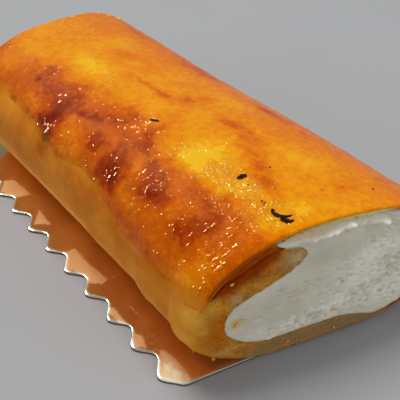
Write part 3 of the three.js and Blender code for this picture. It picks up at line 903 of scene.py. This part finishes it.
def buildSkin(material):
    skin = yolkSkin
    bodyRows = int(roll["length"] / skin["step"])
    endSteps, nearSteps = 9, 16
    # rows run from the far end to the near one: rounding at the far cut, body, rounding and lip near
    bodyStart, bodyEnd = skin["farRounding"] / roll["length"], 1 - skin["lipDepth"] / roll["length"]
    bodyPart = np.linspace(bodyStart, bodyEnd, bodyRows)
    nearPart = np.full(nearSteps + len(skin["tuck"]), bodyPart[-1])
    rowPart = np.concatenate([np.zeros(endSteps), bodyPart, nearPart])
    rightEdge, leftEdge = skinEdges(rowPart)
    columns = int((runAt(leftEdge.max()) - runAt(rightEdge.min())) / skin["step"])
    u = np.linspace(0, 1, columns)
    rightRun, leftRun = runAt(rightEdge)[:, None], runAt(leftEdge)[:, None]
    run = rightRun + u * (leftRun - rightRun)
    degrees = degreesAt(run)
    lip = throughStations(degrees, skin["lipDegrees"])
    edgeDistance = np.minimum(run - rightRun, leftRun - run)
    thin = smooth(0, skin["feather"], edgeDistance) ** 0.7
    full = skin["sunk"] + (skin["thickness"] - skin["sunk"]) * thin

    part = np.broadcast_to(rowPart[:, None], degrees.shape).copy()
    inward = np.zeros_like(degrees)
    back = skin["nearRounding"] + (skin["lipDepth"] - skin["nearRounding"]) * lip
    drop = skin["nearRounding"] + (skin["lipDrop"] - skin["nearRounding"]) * lip
    for i in range(endSteps):
        farTurn = np.pi / 2 * (1 - i / endSteps)
        part[i] = skin["farRounding"] * (1 - np.sin(farTurn)) / roll["length"]
        inward[i] = skin["farRounding"] * (1 - np.cos(farTurn))
    # the body's last rows slide forward where there is no lip, so that the rounding stays short there
    slide = smooth(0.9, 1.0, bodyPart / bodyPart[-1])[:, None] * (skin["lipDepth"] - back[-1:])
    part[endSteps:endSteps + bodyRows] += slide / roll["length"]
    for i in range(nearSteps):
        row = endSteps + bodyRows + i
        nearTurn = (np.pi / 2) * (1 + skin["lipTurn"] * lip[row]) * (i + 1) / nearSteps
        part[row] = 1 - back[row] * (1 - np.sin(nearTurn)) / roll["length"]
        inward[row] = drop[row] * (1 - np.cos(nearTurn))
    for i, (behind, further) in enumerate(skin["tuck"]):
        row = endSteps + bodyRows + nearSteps + i
        part[row] = part[row - i - 1] - behind / roll["length"]
        inward[row] = inward[row - i - 1] + further
    shown = place(part, *outline(degrees, full))
    lumpsHere = skinLumps(shown)
    outward = full + lumpsHere * thin * (1 - smooth(0.2, 1.2, inward)) - inward
    outward = np.maximum(outward, skin["sunk"] - 0.001 - inward)
    outer = place(part, *outline(degrees, outward))
    underside = outline(degrees, np.minimum(skin["sunk"] - 0.15, outward - 0.3))
    under = place(np.clip(part, 0.006, 0.994), *underside)

    toast = toastAt(part, degrees, shown)
    wander = skin["coverWander"] * (lumps(shown, 8, 46) + 0.5 * lumps(shown, 2.6, 47))
    cover = smooth(skin["coverFrom"], skin["coverTo"], edgeDistance + wander)
    # where the lip curls in: painted shade in the colour, and a duller finish
    crevice = lip * smooth(0, 2.2, inward)

    rows, across = degrees.shape
    points = np.concatenate([outer.reshape(-1, 3), under.reshape(-1, 3)])
    faces = ringFaces(rows, across, 0, False) + ringFaces(rows, across, rows * across, False)
    grid = np.arange(rows * across).reshape(rows, across)
    border = np.concatenate([grid[0], grid[1:, -1], grid[-1, -2::-1], grid[-2:0:-1, 0]])
    ahead = np.roll(border, -1)
    below = rows * across
    faces += np.stack([border, border + below, ahead + below, ahead], axis=-1).tolist()
    fields = {"toast": np.tile(toast.ravel(), 2), "cover": np.tile(cover.ravel(), 2),
              "crevice": np.tile(crevice.ravel(), 2)}
    return makePiece("yolk_skin_toasted", points, faces, material, fields)


def skinFinish():
    skin = yolkSkin
    material, tree = newMaterial("toastedYolk")
    mottle = useGroup(tree, cloudyMottle, {"Size mm": 3.2, "Soft": 0.65})["Value"]
    specks = useGroup(tree, cloudyMottle, {"Size mm": 0.9, "Soft": 0.5})["Value"]
    edge = useGroup(tree, bakedFace, bareSponge)
    cover, crevice = field(tree, "cover"), field(tree, "crevice")
    toast = calc(tree, "MULTIPLY_ADD", mottle, 0.14, field(tree, "toast"))
    toast = calc(tree, "MULTIPLY_ADD", specks, 0.06, calc(tree, "SUBTRACT", toast, 0.1))
    colour = mixColour(tree, cover, edge["Color"], rampOf(tree, toast, skin["toastColours"]))
    colour = mixColour(tree, ease(tree, crevice, 0.1, 1), colour, skin["lipShadeColour"])
    grain = noiseOf(tree, objectPlace(tree), 900.0, 2.0)
    dull = calc(tree, "MAXIMUM", calc(tree, "SUBTRACT", 1.0, cover), crevice)
    film = ease(tree, dull, 0, 0.3, skin["skinRoughness"], skin["bareRoughness"])
    putShader(tree, {
        "Base Color": colour,
        "Roughness": mixValue(tree, field(tree, "drop"), film, skin["beadRoughness"]),
        "Normal": bumpOf(tree, grain, 0.2, 0.0005),
        **skin["surface"],
    })
    return material


skinMaterial = skinFinish()
skinPiece = buildSkin(skinMaterial)
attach(skinPiece, "root")
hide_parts("yolk_skin")
print("yolk skin made")


# Wet beads of syrup that sparkle on the skin, in the skin's own material
wetBeads = {
    "perSquareMm": 0.9, "sides": 9, "rings": 5, "seed": 91,
    # where they may lie, and mm clear of the skin's left edge
    "fromDegrees": 62.0, "toDegrees": 164.0, "fromPart": 0.02, "toPart": 0.985, "clearOfEdge": 4,
    # radius in mm; each bead is the cap of a ball this many times as wide
    "smallest": 0.22, "spread": 0.45, "flatness": 2.3,
    # where they gather: part, degrees, mm along, mm round, share
    "gather": [
        (0.86, 112, 20, 8, 0.95), (0.93, 118, 12, 8, 0.4), (0.6, 114, 20, 7, 0.25),
        (0.385, 147, 5, 5, 0.2), (0.635, 142, 7, 8, 0.14), (0.72, 131, 9, 6, 0.2),
        (0.88, 136, 14, 8, 0.14), (0.24, 118, 5, 4, 0.2), (0.97, 140, 5, 12, 0.4),
        (0.78, 107, 12, 6, 0.5), (0.4, 118, 24, 6, 0.15), (0.75, 140, 8, 6, 0.3),
        (0.97, 102, 6, 10, 0.35), (0.65, 72, 20, 6, 0.06), (0.8, 80, 30, 12, 0.06),
        (0.5, 145, 30, 8, 0.06),
    ],
    "everywhere": 0.01, "rarity": 2.5, "clumpSize": 5.0,
    "rimSunk": 0.25, "footSunk": 0.3, "stretch": 1.15,  # mm into the skin; mm long for 1 mm round
    # the biggest: part, degrees, radius
    "biggest": [
        (0.968, 132.7, 1.2), (0.9055, 131.8, 1.0), (0.981, 144.8, 1.0), (0.9685, 107.9, 0.9),
        (0.87, 104, 1.0), (0.8755, 103, 0.9), (0.384, 149.6, 1.1), (0.381, 152.4, 1.1),
        (0.376, 147, 0.9), (0.649, 144, 1.0), (0.641, 147.5, 0.9), (0.905, 136.5, 0.8), (0.62, 137, 0.9),
        (0.97, 139, 0.8), (0.93, 128, 0.8), (0.35, 131, 0.8), (0.7, 133, 0.9), (0.89, 142, 0.8),
        (0.97, 146, 0.8), (0.965, 142, 0.9),
    ],
}


def scatterBeads():
    beads = wetBeads
    scatter = np.random.default_rng(beads["seed"])
    startRun, endRun = runAt(beads["fromDegrees"]), runAt(beads["toDegrees"])
    tries = int(roll["length"] * (endRun - startRun) * beads["perSquareMm"])
    part = scatter.uniform(beads["fromPart"], beads["toPart"], tries)
    degrees = degreesAt(scatter.uniform(startRun, endRun, tries))
    clumps = lumps(place(part, *outline(degrees)), beads["clumpSize"], beads["seed"])
    share = beads["everywhere"] + patches(part, degrees, beads["gather"]) * np.clip(1 + 1.4 * clumps, 0.1, 2)
    _, leftEdge = skinEdges(part)
    kept = (scatter.uniform(0, 1, tries) < share) & (runAt(leftEdge) - runAt(degrees) > beads["clearOfEdge"])
    radius = beads["smallest"] + beads["spread"] * scatter.uniform(0, 1, tries) ** beads["rarity"]
    found = np.stack([part, degrees, radius], axis=-1)[kept]
    return np.concatenate([found, beads["biggest"]])


def buildBeads(material):
    beads = wetBeads
    part, degrees, radius = scatterBeads().T
    shown = place(part, *outline(degrees, yolkSkin["thickness"]))
    surface = yolkSkin["thickness"] + skinLumps(shown)
    toast = toastAt(part, degrees, shown)
    turn = np.linspace(0, 2 * np.pi, beads["sides"], endpoint=False)
    # rings from the rim, a little under the skin, to the crown
    out = np.concatenate([[0.7, 1.12], np.cos(np.linspace(0, np.pi / 2, beads["rings"] + 1)[1:-1])])
    ballSize = beads["flatness"] * radius[:, None]
    rise = np.sqrt(ballSize**2 - (out * radius[:, None])**2) - np.sqrt(ballSize**2 - radius[:, None]**2)
    rise[:, 0] = -beads["rimSunk"]
    crown = ballSize[:, 0] - np.sqrt(ballSize[:, 0]**2 - radius**2)
    reach = out[None, :, None] * radius[:, None, None]
    along = reach * np.cos(turn) * beads["stretch"]
    around = reach * np.sin(turn)
    ringPart = part[:, None, None] + along / roll["length"]
    ringDegrees = degreesAt(runAt(degrees)[:, None, None] + around)
    rings = place(ringPart, *outline(ringDegrees, surface[:, None, None] + rise[:, :, None]))
    tops = place(part, *outline(degrees, surface + crown))
    feet = place(part, *outline(degrees, surface - beads["footSunk"]))
    each = len(out) * beads["sides"] + 2
    points = np.concatenate([rings.reshape(len(part), -1, 3), tops[:, None], feet[:, None]], axis=1)
    ring = np.arange(beads["sides"])
    after = (ring + 1) % beads["sides"]
    last = (len(out) - 1) * beads["sides"]
    one = [[int(a), int(b), each - 1] for a, b in zip(after, ring)]
    one += [[int(last + a), int(last + b), each - 2] for a, b in zip(ring, after)]
    walls = ringFaces(len(out), beads["sides"])
    faces = [[v + i * each for v in face] for i in range(len(part)) for face in one + walls]
    ones = np.ones(len(part) * each)
    fields = {"toast": np.repeat(toast, each), "cover": ones, "drop": ones}
    print("wet beads:", len(part))
    return makePiece("wet_beads", points.reshape(-1, 3), faces, material, fields)


beadPiece = buildBeads(skinMaterial)
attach(beadPiece, "root")
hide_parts("yolk_skin")
print("wet beads made")


# Burnt flecks baked onto the skin
burntFlecks = {
    # each fleck is a little strip: (part, degrees, width mm) along it
    "strips": [
        [(0.9345, 109.2, 0.5), (0.9433, 110.2, 0.9), (0.949, 110.0, 1.5), (0.9555, 110.0, 2.1),
         (0.960, 109.2, 2.2), (0.9635, 107.8, 1.5), (0.9645, 105.8, 0.9)],
        [(0.961, 109.6, 1.2), (0.9665, 109.9, 2.0), (0.9735, 109.4, 2.4), (0.9765, 108.2, 1.7),
         (0.976, 107, 0.8)],
        [(0.9345, 108.9, 0.4), (0.939, 109.0, 0.7), (0.943, 109.3, 0.5)],
        [(0.8395, 107.2, 1.0), (0.8375, 106.2, 2.4), (0.8375, 104.9, 2.6), (0.8365, 103.8, 2.2),
         (0.835, 102.9, 0.8)],
        [(0.574, 108, 0.9), (0.5775, 107.4, 1.5), (0.583, 106.9, 1.5), (0.589, 106.2, 1.3),
         (0.593, 105.8, 0.6)],
    ],
    "specks": [(0.835, 93, 0.8), (0.947, 73.8, 0.7), (0.911, 108.9, 0.9), (0.9165, 108.6, 0.7),
               (0.919, 109.5, 0.8), (0.421, 115, 0.6), (0.235, 127.6, 0.8), (0.93, 84, 0.5),
               (0.862, 106.4, 0.7)],
    "height": 0.5, "depth": 0.4, "seed": 61,  # above and below the skin's top, mm
    "bigRings": 36, "bigSides": 16, "speckRings": 7, "speckSides": 8,
    "jag": 0.6, "ringStep": 0.55, "ringRadius": 1.6, "bluntness": 0.35,
    "colours": (paint(22, 10, 8), paint(60, 24, 10)),
    "surface": {"Roughness": 0.3, "Specular IOR Level": 0.3},
}


def scab(route, sides, rings, seed):  # a low ragged lump along a route of (part, degrees, width)
    flecks = burntFlecks
    stops = splineThrough([(a * roll["length"], runAt(b), c) for a, b, c in route], rings)
    turn = np.linspace(0, 2 * np.pi, sides, endpoint=False)
    end = np.sin(np.linspace(0.12, math.pi - 0.12, rings)) ** flecks["bluntness"]
    half = (stops[:, 2] / 2 * end)[:, None]
    flat = stops[:, :2]
    along = np.gradient(flat, axis=0)
    along /= np.linalg.norm(along, axis=1, keepdims=True)
    ring = np.arange(rings)[:, None] * flecks["ringStep"]
    circle = flecks["ringRadius"] * np.cos(turn), flecks["ringRadius"] * np.sin(turn)
    where = np.stack(np.broadcast_arrays(ring, *circle), axis=-1)
    jag = 1 + flecks["jag"] * lumps(where, 1.0, seed, 2)
    side = half * np.cos(turn) * jag
    lift = np.where(np.sin(turn) > 0, flecks["height"], flecks["depth"]) * np.sin(turn)
    lift = lift * np.minimum(1, half / 0.5) * jag
    part = (flat[:, :1] - along[:, 1:] * side) / roll["length"]
    degrees = degreesAt(flat[:, 1:] + along[:, :1] * side)
    return place(part, *outline(degrees, yolkSkin["thickness"] + lift))


def buildFlecks(material):
    flecks = burntFlecks
    points, faces = [], []
    routes = list(flecks["strips"])
    for part, degrees, width in flecks["specks"]:
        reach = width / 2 / roll["length"]
        routes.append([(part - reach, degrees, width), (part + reach, degrees + 0.2, width)])
    for number, route in enumerate(routes):
        size = "big" if len(route) > 2 else "speck"
        rings, sides = flecks[size + "Rings"], flecks[size + "Sides"]
        grid = scab(route, sides, rings, flecks["seed"] + number)
        first = sum(len(p) for p in points)
        points.append(grid.reshape(-1, 3))
        faces += tubeFaces(rings, sides, first)
    return makePiece("burnt_flecks", np.concatenate(points), faces, material)


def burntFinish():
    material, tree = newMaterial("burntYolk")
    cloud = useGroup(tree, cloudyMottle, {"Size mm": 1.0, "Soft": 0.6})["Value"]
    flakes = noiseOf(tree, objectPlace(tree), 1500.0, 3.0)
    putShader(tree, {
        "Base Color": mixColour(tree, cloud, *burntFlecks["colours"]),
        "Normal": bumpOf(tree, flakes, 0.8, 0.0004),
        **burntFlecks["surface"],
    })
    return material


fleckPiece = buildFlecks(burntFinish())
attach(fleckPiece, "root")
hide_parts("yolk_skin")
print("burnt flecks made")


# Gold card: foil over board, waved long edges and straight cut ends
goldCard = {
    "thickness": 1.5, "halfWidth": 65, "waveHeight": 3.1, "wavePitch": 18.8,
    "nearTipFromFront": 8.9, "frontInset": 2.9, "frontSlant": 0.193,
    "edgeStep": 0.8, "faceStep": 0.9, "coveredHalf": 46,  # the mesh is coarse where the roll covers it
    "rimWidth": 1.1,  # the pressed rim falls away towards the edge
    "footInset": 0.35, "lowInset": 0.06, "lowHeight": 0.12,  # the underside's own edge
    # the rim from there round to the top face: inset and height, mm
    "rimProfile": [(0.0, 0.35), (0.0, 0.75), (0.05, 1.0), (0.16, 1.18), (0.34, 1.3), (0.6, 1.37)],
    # below boardTop the card is dark grey: partly the board's own core, partly painted shade
    "boardTop": 0.8, "endFaceTop": 1.1, "rimTop": 1.385,  # mm up to which board and bright rim show
    "ripple": 0.1, "crinkle": 0.3,
    "besideRoll": (50, 57), "behindRoll": (112, 118),  # where the ripples rise from under the roll
    # painted reflections: pale, matte flats where the foil would mirror bright things
    "brightFlats": [  # corners of the flats that catch the light, x and y
        [(-71.4, -59.7), (-68.3, -55.1), (-59.1, -54), (-50.1, -53.6), (-53.3, -62.2), (-57.7, -63.6),
         (-62.8, -66)],
        [(-36.7, -55.9), (-27.7, -56.7), (-20.5, -56.7), (-24.7, -61.1), (-26.8, -64)],
        [(1.2, -61.3), (1.7, -56), (13.5, -56.6), (29.5, -54.6), (30.7, -58.6), (26.6, -63.2), (20.8, -62),
         (11.3, -66.9)],
        [(49, -56.5), (55.5, -55.7), (55.7, -55), (49, -55.8)],
        [(40, -66), (46, -62), (60, -62.5), (60, -65)],
        [(63.2, -63), (66.4, -61), (73.2, -63), (70, -66), (67, -67)],
        [(76.8, -59.5), (78.7, -57.7), (85.5, -56.9), (93.6, -57.7), (96.1, -57.9), (97.5, -61.6),
         (94, -68), (86, -68), (82.5, -63.2)],
        [(-20, 62), (-8, 55), (12, 57), (18, 63)], [(60, 63), (72, 56), (84, 59), (90, 66)],
    ],
    # painted reflection: the crinkled corner is painted palest, as if it mirrored a bright light
    "corner": (90, -63, 9, 4.5),  # the palest, crinkled corner: x, y, half length, half width
    "crinkles": [(89, -62.5, 9, 5), (72, -59, 5, 2.6), (-88, 62, 10, 5), (70, 62, 8, 5)],
    "foilColours": (paint(232, 204, 142), paint(222, 188, 124)),
    # the rim tint is a painted highlight, the flat and corner tints are painted reflections, and the board
    # tint is partly painted shade
    "tints": [("paintedReflection", 1, paint(255, 210, 146)), ("corner", 1, paint(255, 232, 176)),
              ("rim", 1, paint(255, 245, 225)), ("boardAndShade", 1, paint(70, 64, 56))],  # field, strength, tint
}


def cardLoop():
    card = goldCard
    middleFront = roll["length"] / 2 - card["frontInset"]
    nearTip = middleFront - card["frontSlant"] * card["halfWidth"] - card["nearTipFromFront"]
    loop = []
    for side in (-1, 1):
        end = middleFront + side * card["frontSlant"] * card["halfWidth"]
        x = np.linspace(roll["cardBack"], end, int((end - roll["cardBack"]) / card["edgeStep"]))
        wave = np.cos(2 * np.pi * (x - nearTip) / card["wavePitch"])
        reach = card["halfWidth"] + card["waveHeight"] * wave
        edge = np.stack([x, side * reach], axis=-1)
        loop.append(edge if side < 0 else edge[::-1])
    front = np.linspace(loop[0][-1], loop[1][0], 90)[1:-1]
    back = np.linspace(loop[1][-1], loop[0][0], 90)[1:-1]
    return np.concatenate([loop[0], front, loop[1], back])


def densify(corners, step):  # points every so often along a closed line of corners
    ahead = np.roll(corners, -1, axis=0)
    sides = [np.linspace(a, b, max(2, int(np.hypot(*(b - a)) / step)), endpoint=False)
             for a, b in zip(corners, ahead)]
    return np.concatenate(sides)


def buildCard(material):
    card = goldCard
    loop = softenLoop(cardLoop(), 3)
    count = len(loop)
    profile = card["rimProfile"]
    foot = softenLoop(insetLoop(softenLoop(loop, 1), -card["footInset"]), 1)
    lowRing = insetLoop(loop, -card["lowInset"])
    rings = [np.column_stack([foot, np.zeros(count)]),
             np.column_stack([lowRing, np.full(count, card["lowHeight"])])]
    flat, reached = loop, 0.0
    for inset, height in profile:
        if inset > reached:
            flat = softenLoop(insetLoop(flat, reached - inset), 3)
            reached = inset
        rings.append(np.column_stack([flat, np.full(count, height)]))
    points = [np.concatenate(rings)]
    faces = ringFaces(len(rings), count)
    rims = [rings[-1], rings[0]]
    for top in (True, False):
        rim = rims[0 if top else 1][:, :2]
        flat, triangles = fillFace([rim], card["faceStep"] if top else 5.0, 71 if top else 72,
                                   card["coveredHalf"] if top else None)
        fresh = flat[count:]
        x, y = fresh[:, 0], fresh[:, 1]
        z = np.zeros(len(fresh))
        if top:
            beside, behind = smooth(*card["besideRoll"], np.abs(y)), smooth(*card["behindRoll"], -x)
            outside = np.clip(beside + behind, 0, 1)
            distance = nearness(x, y, rim)
            where = np.stack([x, y, np.zeros_like(x)], axis=-1)
            z = profile[-1][1] + (card["thickness"] - profile[-1][1]) * smooth(0, card["rimWidth"], distance)
            ripples = 0.5 + 0.5 * lumps(where * [0.5, 1, 1], 9, 73)
            z -= card["ripple"] * outside * ripples * smooth(0, 2, distance)
            crumple = ovals(x, y, card["crinkles"])
            z -= card["crinkle"] * crumple * np.abs(lumps(where, 3.2, 74)) * smooth(0, 1.5, distance)
        first = sum(len(p) for p in points)
        row = len(rings) - 1 if top else 0
        faces += capFaces(triangles, (row * count, count), (first, len(fresh)))
        points.append(np.stack([x, y, z], axis=-1))
    points = np.concatenate(points)
    x, y, z = points.T
    ragged = points[:, :2] + 0.2 * np.stack([lumps(points, 4.0, 75), lumps(points, 4.0, 76)], axis=-1)
    # painted reflections on the foil, pale and matte
    paintedReflection = np.zeros(len(points))
    for corners in card["brightFlats"]:
        outlineOfFlat = densify(np.array(corners, dtype=float), 0.5)
        inside = np.where(insideLoop(ragged, outlineOfFlat), 1, -1)
        distance = inside * nearness(ragged[:, 0], ragged[:, 1], outlineOfFlat)
        paintedReflection = np.maximum(paintedReflection, smooth(-0.5, 0.7, distance))
    front = roll["length"] / 2 - card["frontInset"] + card["frontSlant"] * y
    endFace = (z < card["endFaceTop"]) * ((x > front - 0.3) | (x < roll["cardBack"] + 0.3))
    # dark grey edge: partly the board's own core, partly painted shade along the card's edge
    boardAndShade = np.maximum((z < card["boardTop"]).astype(float), endFace)
    # painted reflection on the crinkled corner
    corner = 1.3 * ovals(x, y, [card["corner"]]) * (1 + 0.2 * lumps(points, 2.5, 77))
    # painted highlight: the rim's band is painted near white
    rim = ((z > card["boardTop"]) & (z < card["rimTop"])).astype(float) * (1 - endFace)
    fields = {"paintedReflection": paintedReflection * (z > 0.9), "boardAndShade": boardAndShade, "rim": rim,
              "corner": np.clip(corner * (z > 0.3), 0, 1)}
    return makePiece("gold_card", points, faces, material, fields)


def cardFinish():
    material, tree = newMaterial("goldFoilCard")
    cloud = useGroup(tree, cloudyMottle, {"Size mm": 22.0, "Soft": 0.5})["Value"]
    foil = mixColour(tree, cloud, *goldCard["foilColours"])
    matte = calc(tree, "MULTIPLY_ADD", field(tree, "paintedReflection"), 0.4, 0.06)
    matte = calc(tree, "MAXIMUM", matte, calc(tree, "MULTIPLY", field(tree, "corner"), 0.75))
    matte = calc(tree, "MAXIMUM", matte, field(tree, "boardAndShade"))
    scratch = noiseOf(tree, objectPlace(tree, (0.15, 1, 1)), 900.0, 4.0)
    rough = calc(tree, "MULTIPLY_ADD", scratch, 0.12, 0.12)
    waves = noiseOf(tree, objectPlace(tree), 90.0, 2.0)
    putShader(tree, {
        "Base Color": layTints(tree, foil, goldCard["tints"]),
        "Metallic": calc(tree, "SUBTRACT", 1.0, matte),
        "Roughness": calc(tree, "MULTIPLY_ADD", matte, 0.3, rough),
        "Normal": bumpOf(tree, waves, 0.15, 0.002),
    })
    return material


cardPiece = buildCard(cardFinish())
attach(cardPiece, "root")
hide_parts("cake_card")
print("gold card made")


# Loose crumbs: on the cream, on the far top edge and on the card beside the roll
looseCrumbs = {
    # x, y, z of the middle, then half sizes, all mm; on the near cut x is out from the cut
    "onCut": [(0.1, -38.6, 25.2, 0.5, 1.0, 0.8), (0.3, 6, 3.2, 0.4, 0.7, 0.6),
              (0.2, -44, 47.5, 0.5, 0.8, 0.7), (0.2, -15, 4.6, 0.4, 0.6, 0.5)],
    # part, degrees, half sizes
    "onSkin": [(0.035, 50, 2.0, 1.6, 0.9), (0.05, 46, 1.2, 1.0, 0.7), (0.02, 56, 1.3, 1.2, 0.8),
               (0.012, 84, 1.3, 1.0, 0.15), (0.03, 60, 1.6, 1.2, 0.6), (0.015, 66, 1.2, 1.4, 0.6)],
    # x, y, half sizes
    "onCard": [(50.2, -47.3, 0.7, 0.6, 0.5), (55.2, -45.6, 1.1, 0.9, 0.7), (53.2, -46.2, 0.6, 0.5, 0.4),
               (93.8, -44.6, 0.9, 0.8, 0.6), (30, -52, 0.5, 0.4, 0.4), (86, -49, 0.5, 0.5, 0.4)],
    "sides": 10, "rings": 8,
    "colours": (paint(246, 204, 96), paint(226, 166, 56)),
    "surface": {"Roughness": 0.7, "Subsurface Weight": 0.2, "Subsurface Scale": 0.001},
}


def crumbPoints(middle, half, seed):
    crumbs = looseCrumbs
    around = np.linspace(0, 2 * np.pi, crumbs["sides"], endpoint=False)[None, :]
    down = np.linspace(0.2, math.pi - 0.2, crumbs["rings"])[:, None]
    axes = np.sin(down) * np.cos(around), np.sin(down) * np.sin(around), np.cos(down)
    ball = np.stack(np.broadcast_arrays(*axes), axis=-1)
    ball = ball * (1 + 0.35 * lumps(ball, 0.9, seed, 2)[..., None])
    return np.asarray(middle) + ball * np.asarray(half)


def buildCrumbs(material):
    crumbs = looseCrumbs
    placed = []
    for out, y, z, *half in crumbs["onCut"]:
        placed.append((place(1 + out / roll["length"], y, z), half))
    for part, degrees, *half in crumbs["onSkin"]:
        placed.append((place(part, *outline(degrees, yolkSkin["thickness"])), half))
    for x, y, *half in crumbs["onCard"]:
        placed.append(((x, y, goldCard["thickness"] + 0.6 * half[2] - 0.1), half))
    points, faces = [], []
    for i, (middle, half) in enumerate(placed):
        points.append(crumbPoints(middle, half, 81 + i).reshape(-1, 3))
        faces += tubeFaces(crumbs["rings"], crumbs["sides"], i * crumbs["rings"] * crumbs["sides"])
    return makePiece("loose_crumbs", np.concatenate(points), faces, material)


def crumbFinish():
    material, tree = newMaterial("spongeCrumb")
    cloud = useGroup(tree, cloudyMottle, {"Size mm": 2.0, "Soft": 0.6})["Value"]
    grain = useGroup(tree, crumbPores, {"Size mm": 0.7})
    putShader(tree, {
        "Base Color": mixColour(tree, cloud, *looseCrumbs["colours"]),
        "Normal": bumpOf(tree, grain["Height"], 0.6, 0.0003),
        **looseCrumbs["surface"],
    })
    return material


crumbPiece = buildCrumbs(crumbFinish())
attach(crumbPiece, "root")
print("loose crumbs made")


# Floor, light and camera
studio = {
    "floor": paint(174, 175, 177), "floorCloud": paint(150, 151, 152), "floorHalf": 2.0,
    "middle": (0, 0, 0.035),  # what the lamps point at, m
    "ambient": (0.92, 0.96, 1.0), "ambientStrength": 0.23,
    # name, direction from the middle of the roll, distance m, size m, watts, colour
    "softLamps": [("overhead", (-0.32, 0.06, 0.93), 2.6, 1.2, 49, (1.0, 0.98, 0.95)),
                  ("leftFill", (0.15, -0.93, 0.32), 1.6, 1.0, 4.6, (0.95, 0.98, 1.0)),
                  ("nearFill", (0.8, 0.5, 0.5), 1.6, 1.0, 3.8, (0.95, 0.98, 1.0)),
                  ("cakeFill", (0.8, 0.5, 0.5), 1.6, 1.0, 2.7, (0.95, 0.98, 1.0))],
    "offTheFloor": ["cakeFill"],  # keeps the shadow under the near cut deep
    # lamps that only show as glints: on the wet beads, as the skin's sheen and on the card
    "beadGlints": [("glintTop", (-0.667, 0.031, 0.745), 1.5, 0.4, 70, (1.0, 0.96, 0.88)),
                   ("glintLeft", (-0.667, -0.531, 0.522), 1.5, 0.4, 60, (1.0, 0.96, 0.9)),
                   ("glintLow", (-0.667, -0.743, 0.15), 1.5, 0.4, 40, (1.0, 0.96, 0.9))],
    "skinGlints": [("sheen", (-0.62, -0.2, 0.74), 1.5, 0.5, 3, (1.0, 0.96, 0.88))],
    "foilGlints": [("glintFoil", (-0.66, -0.3, 0.7), 1.5, 0.5, 22, (1.0, 0.98, 0.95))],
}


def floorFinish():
    material, tree = newMaterial("plainFloor")
    cloud = useGroup(tree, cloudyMottle, {"Size mm": 60.0, "Soft": 0.4})["Value"]
    shade = mixColour(tree, calc(tree, "MULTIPLY", cloud, 0.06), studio["floor"], studio["floorCloud"])
    putShader(tree, {"Base Color": shade, "Roughness": 0.8, "Specular IOR Level": 0.0})
    return material


def hangLamp(name, direction, distance, size, watts, colour):
    light = bpy.data.lights.new(name, "AREA")
    light.shape = "SQUARE"
    light.size = size
    light.energy = watts
    light.color = colour
    lamp = bpy.data.objects.new(name, light)
    middle = Vector(studio["middle"])
    lamp.location = middle + Vector(direction).normalized() * distance
    lamp.rotation_euler = (middle - lamp.location).to_track_quat("-Z", "Y").to_euler()
    bpy.context.scene.collection.objects.link(lamp)
    return lamp


def buildStudio():
    half = studio["floorHalf"]
    corners = [(-half, -half, 0), (half, -half, 0), (half, half, 0), (-half, half, 0)]
    mesh = bpy.data.meshes.new("plain_floor")
    mesh.from_pydata(corners, [], [(0, 1, 2, 3)])
    mesh.materials.append(floorFinish())
    floor = bpy.data.objects.new("plain_floor", mesh)
    bpy.context.scene.collection.objects.link(floor)
    world = bpy.data.worlds.new("studioWorld")
    bpy.context.scene.world = world
    world.use_nodes = True
    background = world.node_tree.nodes["Background"]
    background.inputs["Color"].default_value = studio["ambient"] + (1.0,)
    background.inputs["Strength"].default_value = studio["ambientStrength"]
    for values in studio["softLamps"]:
        lamp = hangLamp(*values)
        lamp.visible_glossy = False
        if values[0] in studio["offTheFloor"]:
            takers = bpy.data.collections.new("cake_light")
            for piece in (spongePiece, creamPiece, skinPiece, beadPiece, fleckPiece, cardPiece, crumbPiece):
                takers.objects.link(piece)
            lamp.light_linking.receiver_collection = takers
    glinting = [(beadPiece, "beadGlints"), (skinPiece, "skinGlints"), (cardPiece, "foilGlints")]
    for piece, name in glinting:
        takers = bpy.data.collections.new(piece.name + "_glints")
        takers.objects.link(piece)
        for values in studio[name]:
            glint = hangLamp(*values)
            glint.visible_diffuse = False
            glint.light_linking.receiver_collection = takers


viewpoint = {  # mm in the shared frame, from the photograph's perspective
    "place": (202.97, -155.75, 200.1),
    "right": (0.6279, 0.7766, 0.0517),
    "up": (-0.4923, 0.3449, 0.7992),
    "lens": 54, "sensor": 36,
}


def buildCamera():
    data = bpy.data.cameras.new("photoCamera")
    data.lens = viewpoint["lens"]
    data.sensor_width = viewpoint["sensor"]
    data.clip_start = 0.01
    right, up = Vector(viewpoint["right"]), Vector(viewpoint["up"])
    back = right.cross(up)
    turn = Matrix((right, up, back)).transposed().to_4x4()
    camera = bpy.data.objects.new("photoCamera", data)
    camera.matrix_world = Matrix.Translation(Vector(viewpoint["place"]) / 1000) @ turn
    bpy.context.scene.collection.objects.link(camera)
    bpy.context.scene.camera = camera
    bpy.context.scene.view_settings.view_transform = "Standard"


buildStudio()
buildCamera()
print("studio and camera made")
